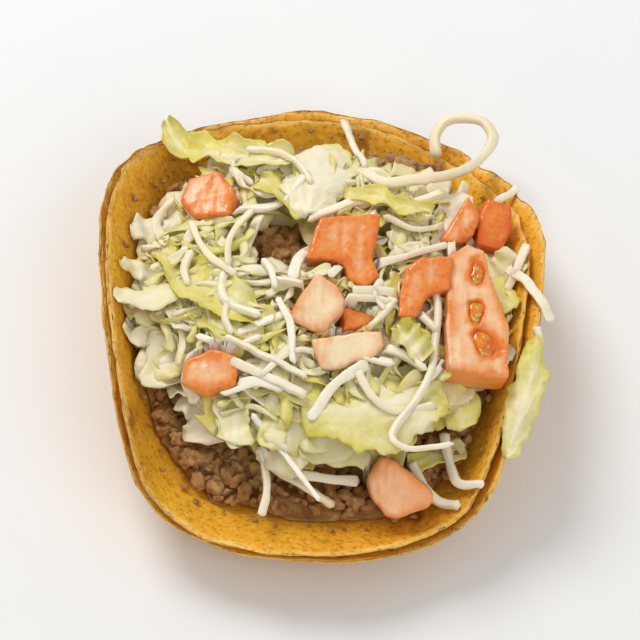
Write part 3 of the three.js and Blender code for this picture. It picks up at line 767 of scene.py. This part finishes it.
def bent_plan(random, x, y, length, curl, bunched):
    """A limp shred's plan path: a centre, a heading and a wandering turn; bunched ones lie side by side."""
    steps = max(16, int(length / 0.9))
    heading = random.uniform(0, 2 * math.pi)
    if bunched:
        heading = 5 * noise([x, y, 0], 34, 77, 1) + random.normal(0, 0.4)
    along = np.linspace(-0.5, 0.5, steps)
    turning = curl * random.uniform(-1, 1) * along + 0.5 * curl * random.uniform(-1, 1) * np.sin(5 * along)
    direction = heading + turning
    step = length / (steps - 1)
    path = np.cumsum(np.stack([np.cos(direction), np.sin(direction)], axis=1) * step, axis=0)
    return path - path.mean(axis=0) + [x, y]


def cheese_shred(shape, random, path, width=None):
    """A shred off a grater: nearly square, cut off flat, twisted a little, dented and worn at its edges."""
    half_width = (width or random.uniform(1.4, 2.6)) / 2
    half_thickness = min(random.uniform(0.55, 0.95) + (0.4 if width else 0), half_width)
    wander = noise(path + random.uniform(-99, 99, 3), 7, 2, 2)
    roll = random.uniform(-0.9, 0.9) + np.linspace(0, random.uniform(-1.2, 1.2), len(path))
    points, faces = strip(path, half_width * (1 + 0.28 * wander), half_thickness * (1 - 0.2 * wander), roll,
                          corners=12, squareness=6, taper=0.25)
    dents = 0.13 * noise(points + random.uniform(-99, 99, 3), 2.4, 6)
    points = ground.clear_of_tortillas(points + dents[:, None] * [1, 1, 0.6])
    shape.add(points, faces, tone=np.clip(random.uniform(0, 1) + 2 * dents, 0, 1))
    ground.cover(points, faces)


def scatter(count, random, reach, lengths, curl, most_step, lay, clear=False, bunched=False, inner=0.0):
    """Lays shreds evenly over the heap, or only over its flank from `inner` outward.

    One that would climb too steeply, or cover a topping where it has to be clear, is left out.
    """
    for out, turn in spiral(count, inner):
        turn += count
        x, y = reach[0] * out * math.cos(turn), reach[1] * out * math.sin(turn)
        plan = bent_plan(random, x, y, random.uniform(*lengths), curl, bunched)
        under = np.minimum(ground.under(plan, 1.0), salad_top(plan[:, 0], plan[:, 1]))
        if under.max() - under.min() > most_step:
            continue
        if any((((plan - spot[:2]) / spot[2:]) ** 2).sum(axis=1).min() < 1 for spot in BARE_SPOTS):
            continue
        if clear and ground.topping[ground.index(*plan.T)].any():
            continue
        lay(plan)


# --------------- leaves

# Each leaf's spine, its half-widths along it, curl, waves (how many and how high), and how much is rib.
LEAVES = {
    "leaf_back_ribbon": dict(
        spine=[[-43, 57, 21.5], [-39.5, 50, 20.3], [-32.6, 45, 23.8], [-24, 41, 29], [-17, 37, 33],
               [-8, 37, 34.5]],
        widths=[2.5, 4.5, 5, 5, 3], curl=2.5, waves=[3, 1.2], rib=[0.0, 0.0, 0.35, 0.1, 0.2]),
    "leaf_back_rib": dict(
        spine=[[-3, 46, 28.5], [-2, 38, 33], [-3, 28, 36], [-4, 17, 38]],
        widths=[6, 8.5, 9, 3], curl=-1.5, waves=[2, 0.9], rib=[0.7, 1.0, 0.95]),
    "leaf_right_back": dict(
        spine=[[23, 33, 31.5], [23, 22, 33.5], [20, 7, 36]],
        widths=[4, 5, 3.5], curl=1, waves=[2, 0.8], rib=[0.9, 0.8]),
    "leaf_right_outer": dict(
        spine=[[34, 33, 29], [33, 22, 31.5], [30, 11, 34]],
        widths=[5, 4.5, 2.5], curl=1, waves=[2, 0.8], rib=[1.0, 0.9]),
    "leaf_thin_green": dict(
        spine=[[5, 24, 37.5], [13, 23, 39], [19, 20, 39.5], [28, 20.5, 37.5]],
        widths=[2, 3, 3, 1.5], curl=1.2, waves=[3, 0.8], rib=[0.3, 0.0]),
    "leaf_front_broad": dict(
        spine=[[-4, -38, 33], [7, -39, 33.5], [19, -36, 33], [31, -27, 31.5]],
        widths=[6, 10, 11, 7], curl=-1.5, waves=[2, 1.2], rib=[0.2, 0.2, 0.8, 0.3]),
    "leaf_right_curly": dict(
        spine=[[19, -15, 37], [22.5, -20, 36], [26, -24, 34.5]],
        widths=[3, 4, 3], curl=2, waves=[3, 1], rib=[0.0, 0.3]),
    "leaf_rim_strip": dict(
        spine=[[54.8, -14, 35.6], [54, -24, 33.2], [51.6, -34, 29.6], [48.2, -45, 25.2]],
        widths=[2, 4.2, 4, 2.5], curl=-1.5, waves=[2, 0.6], rib=[0.1, 0.4]),
    "leaf_left": dict(
        spine=[[-41, 8, 31], [-32, -4, 34.5], [-22, -12, 36.5], [-12, -18, 37]],
        widths=[3, 6, 6, 3], curl=1.5, waves=[3, 1.2], rib=[0.1, 0.3]),
}


def leaf_sheet(path, widths, curl, waves, rib, seed, across, roll=0.0):
    """A torn leaf along a path: thin, wavy, with veins, a thicker pale rib and a ragged edge."""
    steps = len(path)
    aside, normal = path_frames(path)
    roll = np.broadcast_to(roll, (steps,))[:, None]
    aside, normal = aside * np.cos(roll) + normal * np.sin(roll), normal * np.cos(roll) - aside * np.sin(roll)
    u = np.linspace(0, 1, steps)[:, None]
    v = np.linspace(-1, 1, across)[None, :]
    along = u * path_length(path)
    half = np.interp(u, np.linspace(0, 1, len(widths)), widths)
    ragged = noise(triples(along, [0.0, 50.0]) + seed, 3.2, seed)
    stretch = (1 + 0.35 * np.where(v < 0, ragged[:, :1], ragged[:, 1:])) * from_ends(u, 0.06)
    plan = triples(along, v * half)
    wrinkles = noise(plan + seed, 5.5, seed)
    crinkle = noise(plan + seed, 1.8, seed + 1, 2)
    patches = noise(plan + 2 * seed, 13, seed + 2, 2)

    green = 1 - rib
    wave = waves[1] * np.sin(2 * math.pi * waves[0] * u + 2 * v) * (0.3 + 0.7 * np.abs(v))
    lift = curl * v * v + wave + (0.3 + 0.7 * green) * wrinkles * (0.4 + 0.6 * np.abs(v)) + 0.18 * crinkle
    veins = np.abs(np.sin(1.1 * half * v + 0.25 * along * np.sign(v) + 0.8 * wrinkles))
    lift = lift + 0.25 * (1 - veins) ** 2
    half_thickness = 0.14 + 0.3 * rib * (1 - v ** 2) + 0.12 * np.exp(-(v / 0.12) ** 2)
    middle = path[:, None, :] + aside[:, None, :] * (v * half * stretch)[:, :, None]
    top = middle + normal[:, None, :] * (lift + half_thickness)[:, :, None]
    bottom = middle + normal[:, None, :] * (lift - half_thickness)[:, :, None]
    points = np.vstack([ground.clear_of_tortillas(top, 0.6), ground.clear_of_tortillas(bottom)])

    tint = rib + 0.35 * np.exp(-(v / 0.2) ** 2) + 0.3 * (1 - veins) ** 3 + 0.25 * wrinkles + 0.4 * patches
    tint = np.clip(tint - 0.5 * green * smoothstep(np.abs(v), 0.7, 1.0), 0, 1)
    grid = np.arange(steps * across).reshape(steps, across)
    rim = np.concatenate([grid[0, :-1], grid[:-1, -1], grid[-1, :0:-1], grid[:0:-1, 0]])
    faces = [grid_faces(steps, across, flip=True), grid_faces(steps, across, first=grid.size),
             ring_faces(rim, rim + grid.size)]
    return points, faces, np.vstack([tint, tint])


def leaf(name, spine, widths, curl, waves, rib):
    """A named leaf; `widths` and `rib` are spread evenly along its spine."""
    steps, across = 84, 28
    rib = np.interp(np.linspace(0, 1, steps), np.linspace(0, 1, len(rib)), rib)[:, None]
    seed = sum(map(ord, name))
    points, faces, tint = leaf_sheet(smooth_path(spine, steps), widths, curl, waves, rib, seed, across)
    shape = Shape()
    shape.add(points, faces, rib=tint)
    shape.make("visual_" + name, LETTUCE, "lettuce", name)
    ground.cover(points, faces, topping=name in ("leaf_front_broad", "leaf_back_rib"))


def shaved_lettuce(shape, random, plan, half_widths, above, rib=None):
    """A shaving of lettuce that rests on what lies under a plan path."""
    half_width = random.uniform(*half_widths)
    across = 4 if half_width < 1.2 else 6 if half_width < 2.8 else 9
    rib = random.uniform(0, 1) if rib is None else rib
    roll = random.uniform(-0.8, 0.8) * (1 if half_width < 3 else 0.45)
    fine = smooth_path(plan, 22)
    path = np.column_stack([fine, drape(fine, 0.6 * half_width, 0.5, above)])
    wander = roll + 0.5 * noise(path + random.uniform(-99, 99, 3), 9, 2, 2)
    widths = half_width * random.uniform(0.55, 1.1, 5)
    waves = [random.uniform(1, 3), random.uniform(0.3, 0.8)]
    curl = random.uniform(-0.3, 0.3) * half_width
    seed = int(random.integers(1, 9999))
    points, faces, tint = leaf_sheet(path, widths, curl, waves, rib, seed, across, wander)
    shape.add(points, faces, rib=tint)
    ground.cover(points, faces)


# --------------- diced tomato

# Each piece's top face: its middle, lean in degrees and outline; then its depth, where its skin faces and how
# unripe it is, which on the front piece is partly painted light. A pocket is x, y, half-width and half-length.
TOMATOES = {
    "tomato_notched": dict(
        at=[6.8, 3.6, 40.8], lean=[0, 12], thickness=8.5, skin=[0.2, 1.0], pale=-0.05,
        outline=[[-8.5, 9.5], [7.5, 12], [7, 5.5], [6, -0.5], [8, -6], [4, -10], [-0.5, -7.5], [-2, -2.5],
                 [-11.5, -2.5], [-10.5, 3]]),
    "tomato_pale_cube": dict(
        at=[-0.9, -12.9, 41.3], lean=[-10, 25], thickness=9, skin=[-1, -0.6], pale=0.65,
        outline=[[-1, 8], [4.5, 5], [6.5, 1.5], [6, -2], [2, -7], [-1, -7.5], [-8, -4.5], [-6, 1]]),
    "tomato_pale_end": dict(
        at=[7.7, -24, 37.4], lean=[0, 25], thickness=7, skin=[1, 0.2], pale=1.0,
        outline=[[-10.5, 2.5], [0, 5], [7.5, 6], [8.5, 1.5], [4.5, -2], [-3, -5.5], [-7.5, -5.5]]),
    "tomato_under": dict(
        at=[9.3, -14.6, 37.4], lean=[10, 10], thickness=6, skin=[1, -0.2], pale=0.1,
        outline=[[-4, 3.5], [2.5, 3], [5, 1], [3, -1.5], [-4, -3.5]]),
    "tomato_wedge": dict(
        at=[36, 18, 36], lean=[5, 20], thickness=7.5, skin=[0.5, 1], pale=0.15,
        outline=[[1.5, 9], [5, 3], [3.5, -2.5], [-0.5, -5], [-6, -5], [-3.5, 0]]),
    "tomato_rim_chunk": dict(
        at=[45, 20.5, 34], lean=[10, 15], thickness=7, skin=[1, 0.3], pale=-0.5,
        outline=[[-2, 8], [4.5, 6.5], [5, 0], [2, -7.5], [-5, -6], [-5, 1]]),
    "tomato_slice": dict(
        at=[39, -9.3, 39], lean=[5, 8], thickness=9.5, skin=[0.5, -1], pale=0.46,
        pockets=[[0.3, 9.5, 2.2, 4.0], [0.2, -1.5, 1.9, 4.2], [2.6, -10, 3.5, 4.8]],
        outline=[[-7.5, 14], [-2.5, 18.5], [2.5, 17], [4, 9.5], [6.5, 2], [9, -4], [9, -18.5], [1.5, -19],
                 [-7, -17.5], [-8, -5]]),
    "tomato_arm": dict(
        at=[25.1, -5.2, 41], lean=[0, 15], thickness=7, skin=[-1, 0.4], pale=0.07,
        outline=[[-4, 5], [-0.5, 8], [8, 9], [7.5, -0.5], [1.5, -2.5], [-1, -8.5], [-6, -9],
                 [-5.5, -1.5]]),
    # Its pale share is partly paler flesh and partly painted light, as this piece gets less light than the
    # rest.
    "tomato_front": dict(
        at=[21.6, -55.8, 23.5], lean=[0, 35], thickness=9, skin=[0.3, 0.3], pale=0.5,
        bevel=2.4,
        outline=[[-5, 9], [-1, 7.5], [8, 1.5], [9, -1], [8, -3.5], [0.5, -7], [-3, -6.5], [-7.5, -2],
                 [-8.5, 2.5]]),
    "tomato_left": dict(
        at=[-30, 22, 36.5], lean=[-12, 8], thickness=9, skin=[-1, 0.5], pale=0.1,
        outline=[[-6, 5.5], [2, 7.5], [7, 2], [5.5, -6], [-4, -6.5], [-8, -1]]),
    "tomato_left_front": dict(
        at=[-27, -31, 34.5], lean=[-8, 18], thickness=8, skin=[-0.6, -1], pale=0.2,
        outline=[[-7, 3], [0, 6.5], [7.5, 4], [6.5, -3.5], [-1, -6], [-7.5, -3]]),
}
VOXEL = 0.42
POCKET_DEPTH, POCKET_FILL, GEL_LEVEL = 2.0, 0.86, -1.4
SEEDS_IN_A_POCKET, SEED_SIZE, SEED_LEVEL = 3, [0.65, 1.05, 0.5], -0.8


def placing(at, lean):
    """The rotation and place of a tomato piece's top face."""
    normal = Vector((math.tan(math.radians(lean[0])), -math.tan(math.radians(lean[1])), 1)).normalized()
    aside = (Vector((1, 0, 0)) - normal * normal.x).normalized()
    return np.array([aside, normal.cross(aside), normal]).T, np.array(at, float)


def rounded_prism(outline, thickness, bevel):
    """The prism under an outline with its edges rounded, as a fine even mesh."""
    solid = bmesh.new()
    face = solid.faces.new([solid.verts.new((x, y, 0)) for x, y in outline])
    moved = bmesh.ops.extrude_face_region(solid, geom=[face])
    for vert in [part for part in moved["geom"] if isinstance(part, bmesh.types.BMVert)]:
        vert.co.z -= thickness
    bmesh.ops.recalc_face_normals(solid, faces=solid.faces)
    mesh = bpy.data.meshes.new("prism")
    solid.to_mesh(mesh)
    solid.free()
    block = add_object("prism", mesh)
    rounding = block.modifiers.new("bevel", "BEVEL")
    rounding.width, rounding.segments, rounding.limit_method = bevel, 3, "NONE"
    even = block.modifiers.new("remesh", "REMESH")
    even.mode, even.voxel_size = "VOXEL", VOXEL
    result = block.evaluated_get(bpy.context.evaluated_depsgraph_get()).to_mesh()
    points, normals = np.empty((2, 3 * len(result.vertices)))
    result.vertices.foreach_get("co", points)
    result.vertex_normals.foreach_get("vector", normals)
    faces = np.array([list(face.vertices) for face in result.polygons])
    block.to_mesh_clear()
    bpy.data.objects.remove(block)
    bpy.data.meshes.remove(mesh)
    return points.reshape(-1, 3), normals.reshape(-1, 3), faces


def from_sides(points, outline):
    """How far points are from the nearest side of an outline, in plan."""
    nearest = np.full(len(points), np.inf)
    for a, b in zip(np.array(outline, float), np.roll(outline, -1, axis=0)):
        along = np.clip((points[:, :2] - a) @ (b - a) / ((b - a) @ (b - a)), 0, 1)
        nearest = np.minimum(nearest, np.linalg.norm(points[:, :2] - a - along[:, None] * (b - a), axis=1))
    return nearest


def pocket_outline(points, seed):
    """Makes a pocket's outline uneven, the same for its hollow and its gel."""
    return 1 + 0.4 * noise(points * [1, 1, 0], 3.6, seed + 7, 2)


def fill_pocket(gel, seeds, random, seed, pocket, put):
    """A blob of gel in a pocket with its seeds; `put` moves points to where the tomato lies."""
    x, y, half_width, half_length = pocket
    ball, faces = BALL
    blob = ball * [POCKET_FILL * half_width, POCKET_FILL * half_length, 0.95] + [x, y, GEL_LEVEL]
    swell = 1 / pocket_outline(blob, seed)
    blob = (blob - [x, y, 0]) * np.column_stack([swell, swell, 1 + 0 * swell]) + [x, y, 0]
    blob = blob + 0.3 * noise(blob, 1.6, seed, 2)[:, None] * [0, 0, 1]
    gel.add(put(blob), faces)
    for out, turn in spiral(SEEDS_IN_A_POCKET):
        out, turn = 0.55 * out, turn + seed
        centre = [x + out * half_width * math.cos(turn), y + out * half_length * math.sin(turn), SEED_LEVEL]
        angle = random.uniform(0, math.pi)
        taper = 1 - 0.3 * ball[:, 1:2]
        grain = ball * np.hstack([taper, taper, 1 + 0 * taper]) * SEED_SIZE
        spin = np.array(Matrix.Rotation(angle, 3, "Z"))
        seeds.add(put(grain @ spin.T + centre), faces)


def tomato(name, at, lean, outline, thickness, skin, pale, bevel=0.7, pockets=()):
    """A named piece with fibres and a deeper orange edge, partly riper flesh and partly painted shade, paler
    in the middle as a painted highlight; its skin is on a side, or on top if it is well rounded.
    """
    points, normals, faces = rounded_prism(outline, thickness, bevel + 0.3)
    seed = sum(map(ord, name)) % 89
    random = np.random.default_rng(seed)
    turn, place = placing(at, lean)
    facing = unit(normals * [1, 1, 0]) @ unit(np.array([*skin, 0.0]))
    skinned = smoothstep(facing, 0.45, 0.8) * smoothstep(1 - np.abs(normals[:, 2]), 0.35, 0.75)
    if bevel > 1:
        skinned = 0.5 * smoothstep(normals[:, 2] + 0.4 * facing, 0.55, 1.0)
    fibres = noise(points * [1, 0.2, 1] + seed, 1.3, seed + 11, 2)
    ripeness_and_painted_light = 0.3 * noise(points + seed, 5, seed + 5) - pale
    # Deeper orange near the outline and paler in the middle of each face: partly riper flesh near the skin,
    # partly painted shade on the sides and a painted highlight in the middle.
    ripeness_and_painted_light = ripeness_and_painted_light + 0.45 * (1 - smoothstep(from_sides(points, outline), 0.3, 3.5)) - 0.1
    ripeness_and_painted_light = ripeness_and_painted_light + (0.3 + 0.3 * noise(points + seed, 6, seed + 12, 1)) * fibres
    bumps = 0.4 * noise(points + seed, 6, seed, 2) + 0.15 * noise(points + seed, 1.6, seed + 2, 2)
    bumps = bumps + 0.12 * fibres
    points = points + normals * ((bumps - 0.3) * (1 - 0.6 * skinned))[:, None]

    def put(part):
        return part @ turn.T + place

    gel, seeds, shape = Shape(), Shape(), Shape()
    for pocket in pockets:
        out = np.hypot((points[:, 0] - pocket[0]) / pocket[2], (points[:, 1] - pocket[1]) / pocket[3])
        out = out * pocket_outline(points, seed)
        upper = points[:, 2] > GEL_LEVEL - 2.1
        points[:, 2] = points[:, 2] - upper * POCKET_DEPTH * (1 - smoothstep(out, 0.45, 1.05))
        ripeness_and_painted_light = ripeness_and_painted_light + upper * 1.2 * (1 - smoothstep(out, 0.7, 1.35))
        fill_pocket(gel, seeds, random, seed, pocket, put)
    points = put(points)
    shape.add(points, faces, skin=skinned, pale=np.clip(-ripeness_and_painted_light, 0, 1), deep=np.clip(ripeness_and_painted_light - 0.1, 0, 1))
    shape.make("visual_" + name, TOMATO, "tomato", name)
    if pockets:
        gel.make(name + "_gel", GEL, "tomato", name)
        seeds.make(name + "_seeds", SEED, "tomato", name)
    return points, faces


# --------------- the longest shreds, as in the solids

CURLED_SHRED = [
    [9, 39, 29], [12, 33.5, 34], [16, 30.2, 35.8], [21.5, 31, 36.4], [27.5, 32.8, 36], [33, 36.5, 33],
    [38.6, 43.5, 27.5], [44, 53, 21.5], [47, 61.5, 18.3], [45, 67.3, 17.5], [40, 69, 17], [34.3, 67.8, 16.6],
    [31.4, 63.5, 16.2], [31.2, 59, 15.6], [32, 56, 14.8],
]
CURLED_SHRED_WIDTH = 2.8
LONG_SHREDS = [
    [[28.5, -3], [29.5, -10], [29, -18], [28, -27], [24, -36], [19.5, -43], [19, -47], [24, -49],
     [34, -46.5]],
    [[33, -36], [35, -44], [37, -49.5], [43, -51]],
    [[-14, -45], [-6, -49.5], [3, -50.5], [12, -50.5]],
    [[-14, -46], [-6, -51], [1, -54], [6, -57]],
    [[-13, -45], [-11, -54], [-12, -62]],
    [[-16, -40], [-9, -47], [-2, -56], [2, -61]],
    [[-24, -22], [-14, -27], [-3, -32]],
    [[-22, -28], [-12, -33], [-3, -37]],
    [[42, 32], [48, 37], [53, 42]],
    [[48, 8], [54, 0], [59, -9]],
    [[53, 14], [50, 6], [48, 2]],
    [[5, 57], [8, 47], [11, 38]],
    [[39, 43], [36, 36], [31, 34]],
    [[25, -44], [30, -52], [37, -56]],
    [[7.4, -8.1], [13, -7.2], [18, -7]],
    [[18, -8.6], [15.5, -13], [12, -17.4]],
    [[55, -11], [56, -17], [54.5, -23]],
]
GREEN_SHAVINGS = [
    [[-17, 30], [-11, 24], [-4.8, 18]],
    [[20, -12], [26, -18], [31, -20], [31, -28]],
    [[24, -44], [31, -41], [39, -38]],
    [[-30, -14], [-22, -20], [-14, -21]],
]


def heap():
    """The salad: shreds under and over the leaves and the tomato, each resting on what lies beneath."""
    salad_core()
    random = np.random.default_rng(41)
    cheese, torn, shredded = Shape(), Shape(), Shape()

    # What is laid before the leaves stays under the tomato's upper faces.
    tomatoes = [tomato(name, **values) for name, values in TOMATOES.items()]
    tops = Ground()
    for points, faces in tomatoes:
        tops.cover(points, faces)
    ground.ceiling = np.where(tops.height > 0, tops.height - 2.5, np.inf)

    def lettuce(shape, half_widths, above):
        return lambda plan: shaved_lettuce(shape, random, plan, half_widths, random.uniform(*above))

    def lay_cheese(plan):
        cheese_shred(cheese, random, np.column_stack([plan, drape(plan, 1.0, 0.9)]))

    lay_torn = lettuce(torn, (3.0, 7.0), (-2.5, 0.5))
    lay_small = lettuce(torn, (2.2, 4.0), (0, 1.5))
    lay_shredded = lettuce(shredded, (0.7, 1.8), (0.5, 2.5))
    scatter(90, random, (47, 46), (9, 17), 1.0, 22, lay_torn, inner=0.84)
    scatter(100, random, (45, 46), (8, 18), 1.2, 22, lay_torn)
    scatter(150, random, (47, 47), (12, 28), 1.6, 14, lay_shredded, bunched=True)
    scatter(40, random, (46, 46), (16, 30), 1.0, 12, lay_cheese)
    for plan in GREEN_SHAVINGS:
        shaved_lettuce(torn, random, smooth_path(plan, 26), (3.0, 4.5), 2, 0.1)
    ground.ceiling[:] = np.inf
    for name, values in LEAVES.items():
        leaf(name, **values)
    for points, faces in tomatoes:
        ground.cover(points, faces, topping=True)
    scatter(50, random, (46, 47), (6, 13), 1.2, 9, lay_small, clear=True)
    scatter(380, random, (48, 48), (12, 26), 1.6, 12, lay_shredded, clear=True, bunched=True)
    for plan in LONG_SHREDS:
        lay_cheese(smooth_path(plan, 44))
    cheese_shred(cheese, random, smooth_path(CURLED_SHRED, 90), CURLED_SHRED_WIDTH)
    scatter(30, random, (48, 50), (10, 22), 1.0, 9, lay_cheese, clear=True)
    cheese.make("cheese_shreds", CHEESE, "cheese", "salad")
    torn.make("lettuce_torn", LETTUCE, "lettuce", "salad")
    shredded.make("lettuce_shreds", LETTUCE, "lettuce", "salad")


# --------------- floor, light and camera

CAMERA_PLACE = np.array([-31.1, -359.1, 547.4])
PHOTO_FORWARD = np.array([-0.0369, 0.5547, -0.8313])
PHOTO_UP = np.array([-0.0665, 0.8286, 0.5558])
AIM = np.array([1.0, -1.0, 16.0])
LENS, SENSOR = 138.0, 36.0
WARM_WHITE = (1.0, 0.985, 0.96)
STUDIO_LIGHT = 0.55
FLOOR_REACH = 3.0


def set_camera():
    """The photo's viewing direction and roll, turned just far enough to centre the taco."""
    forward = Vector(AIM - CAMERA_PLACE).normalized()
    up = Vector(PHOTO_UP)
    up.rotate(Vector(PHOTO_FORWARD).rotation_difference(forward))
    right = forward.cross(up).normalized()
    data = bpy.data.cameras.new("camera")
    data.lens, data.sensor_width = LENS, SENSOR
    data.clip_start, data.clip_end = 0.01, 20
    camera = add_object("camera", data)
    turn = Matrix((right, right.cross(forward), -forward)).transposed().to_4x4()
    camera.matrix_world = Matrix.Translation(Vector(CAMERA_PLACE * MM)) @ turn
    bpy.context.scene.camera = camera


def area_light(name, place, size, power):
    """A round soft light at a place in metres, aimed at the taco."""
    data = bpy.data.lights.new(name, "AREA")
    data.shape, data.size, data.energy, data.color = "DISK", size, power, WARM_WHITE
    light = add_object(name, data)
    light.location = place
    light.rotation_euler = (Vector((0, 0, 0.02)) - Vector(place)).to_track_quat("-Z", "Y").to_euler()


def set_stage():
    """A plain pale floor, a white world and two soft lights."""
    scene = bpy.context.scene
    scene.view_settings.view_transform = "Standard"
    world = bpy.data.worlds.new("studio")
    world.use_nodes = True
    background = world.node_tree.nodes["Background"]
    background.inputs["Color"].default_value = (1.0, 1.0, 1.0, 1.0)
    background.inputs["Strength"].default_value = STUDIO_LIGHT
    scene.world = world
    area_light("key", (-0.45, 0.55, 0.85), 0.55, 7.2)
    area_light("fill", (0.5, -0.7, 0.8), 0.9, 3.0)
    material, tree, shader = new_material("floor", 0.85)
    faint = clouds_node(tree, 60, 2, 0.5, 0.3, 0.7)
    dress(tree, shader, mix_node(tree, faint, (232, 232, 232), (235, 235, 234)))
    mesh = bpy.data.meshes.new("floor")
    corners = [(x * FLOOR_REACH, y * FLOOR_REACH, 0) for x, y in ((-1, -1), (1, -1), (1, 1), (-1, 1))]
    mesh.from_pydata(corners, [], [(0, 1, 2, 3)])
    mesh.materials.append(material)
    add_object("floor", mesh)


tortilla("visual_tortilla_outer", "tortilla_outer", False, 1)
tortilla("visual_tortilla_inner", "tortilla_inner", True, 2)
ground.keep_tortillas()
beef()
heap()
set_camera()
set_stage()
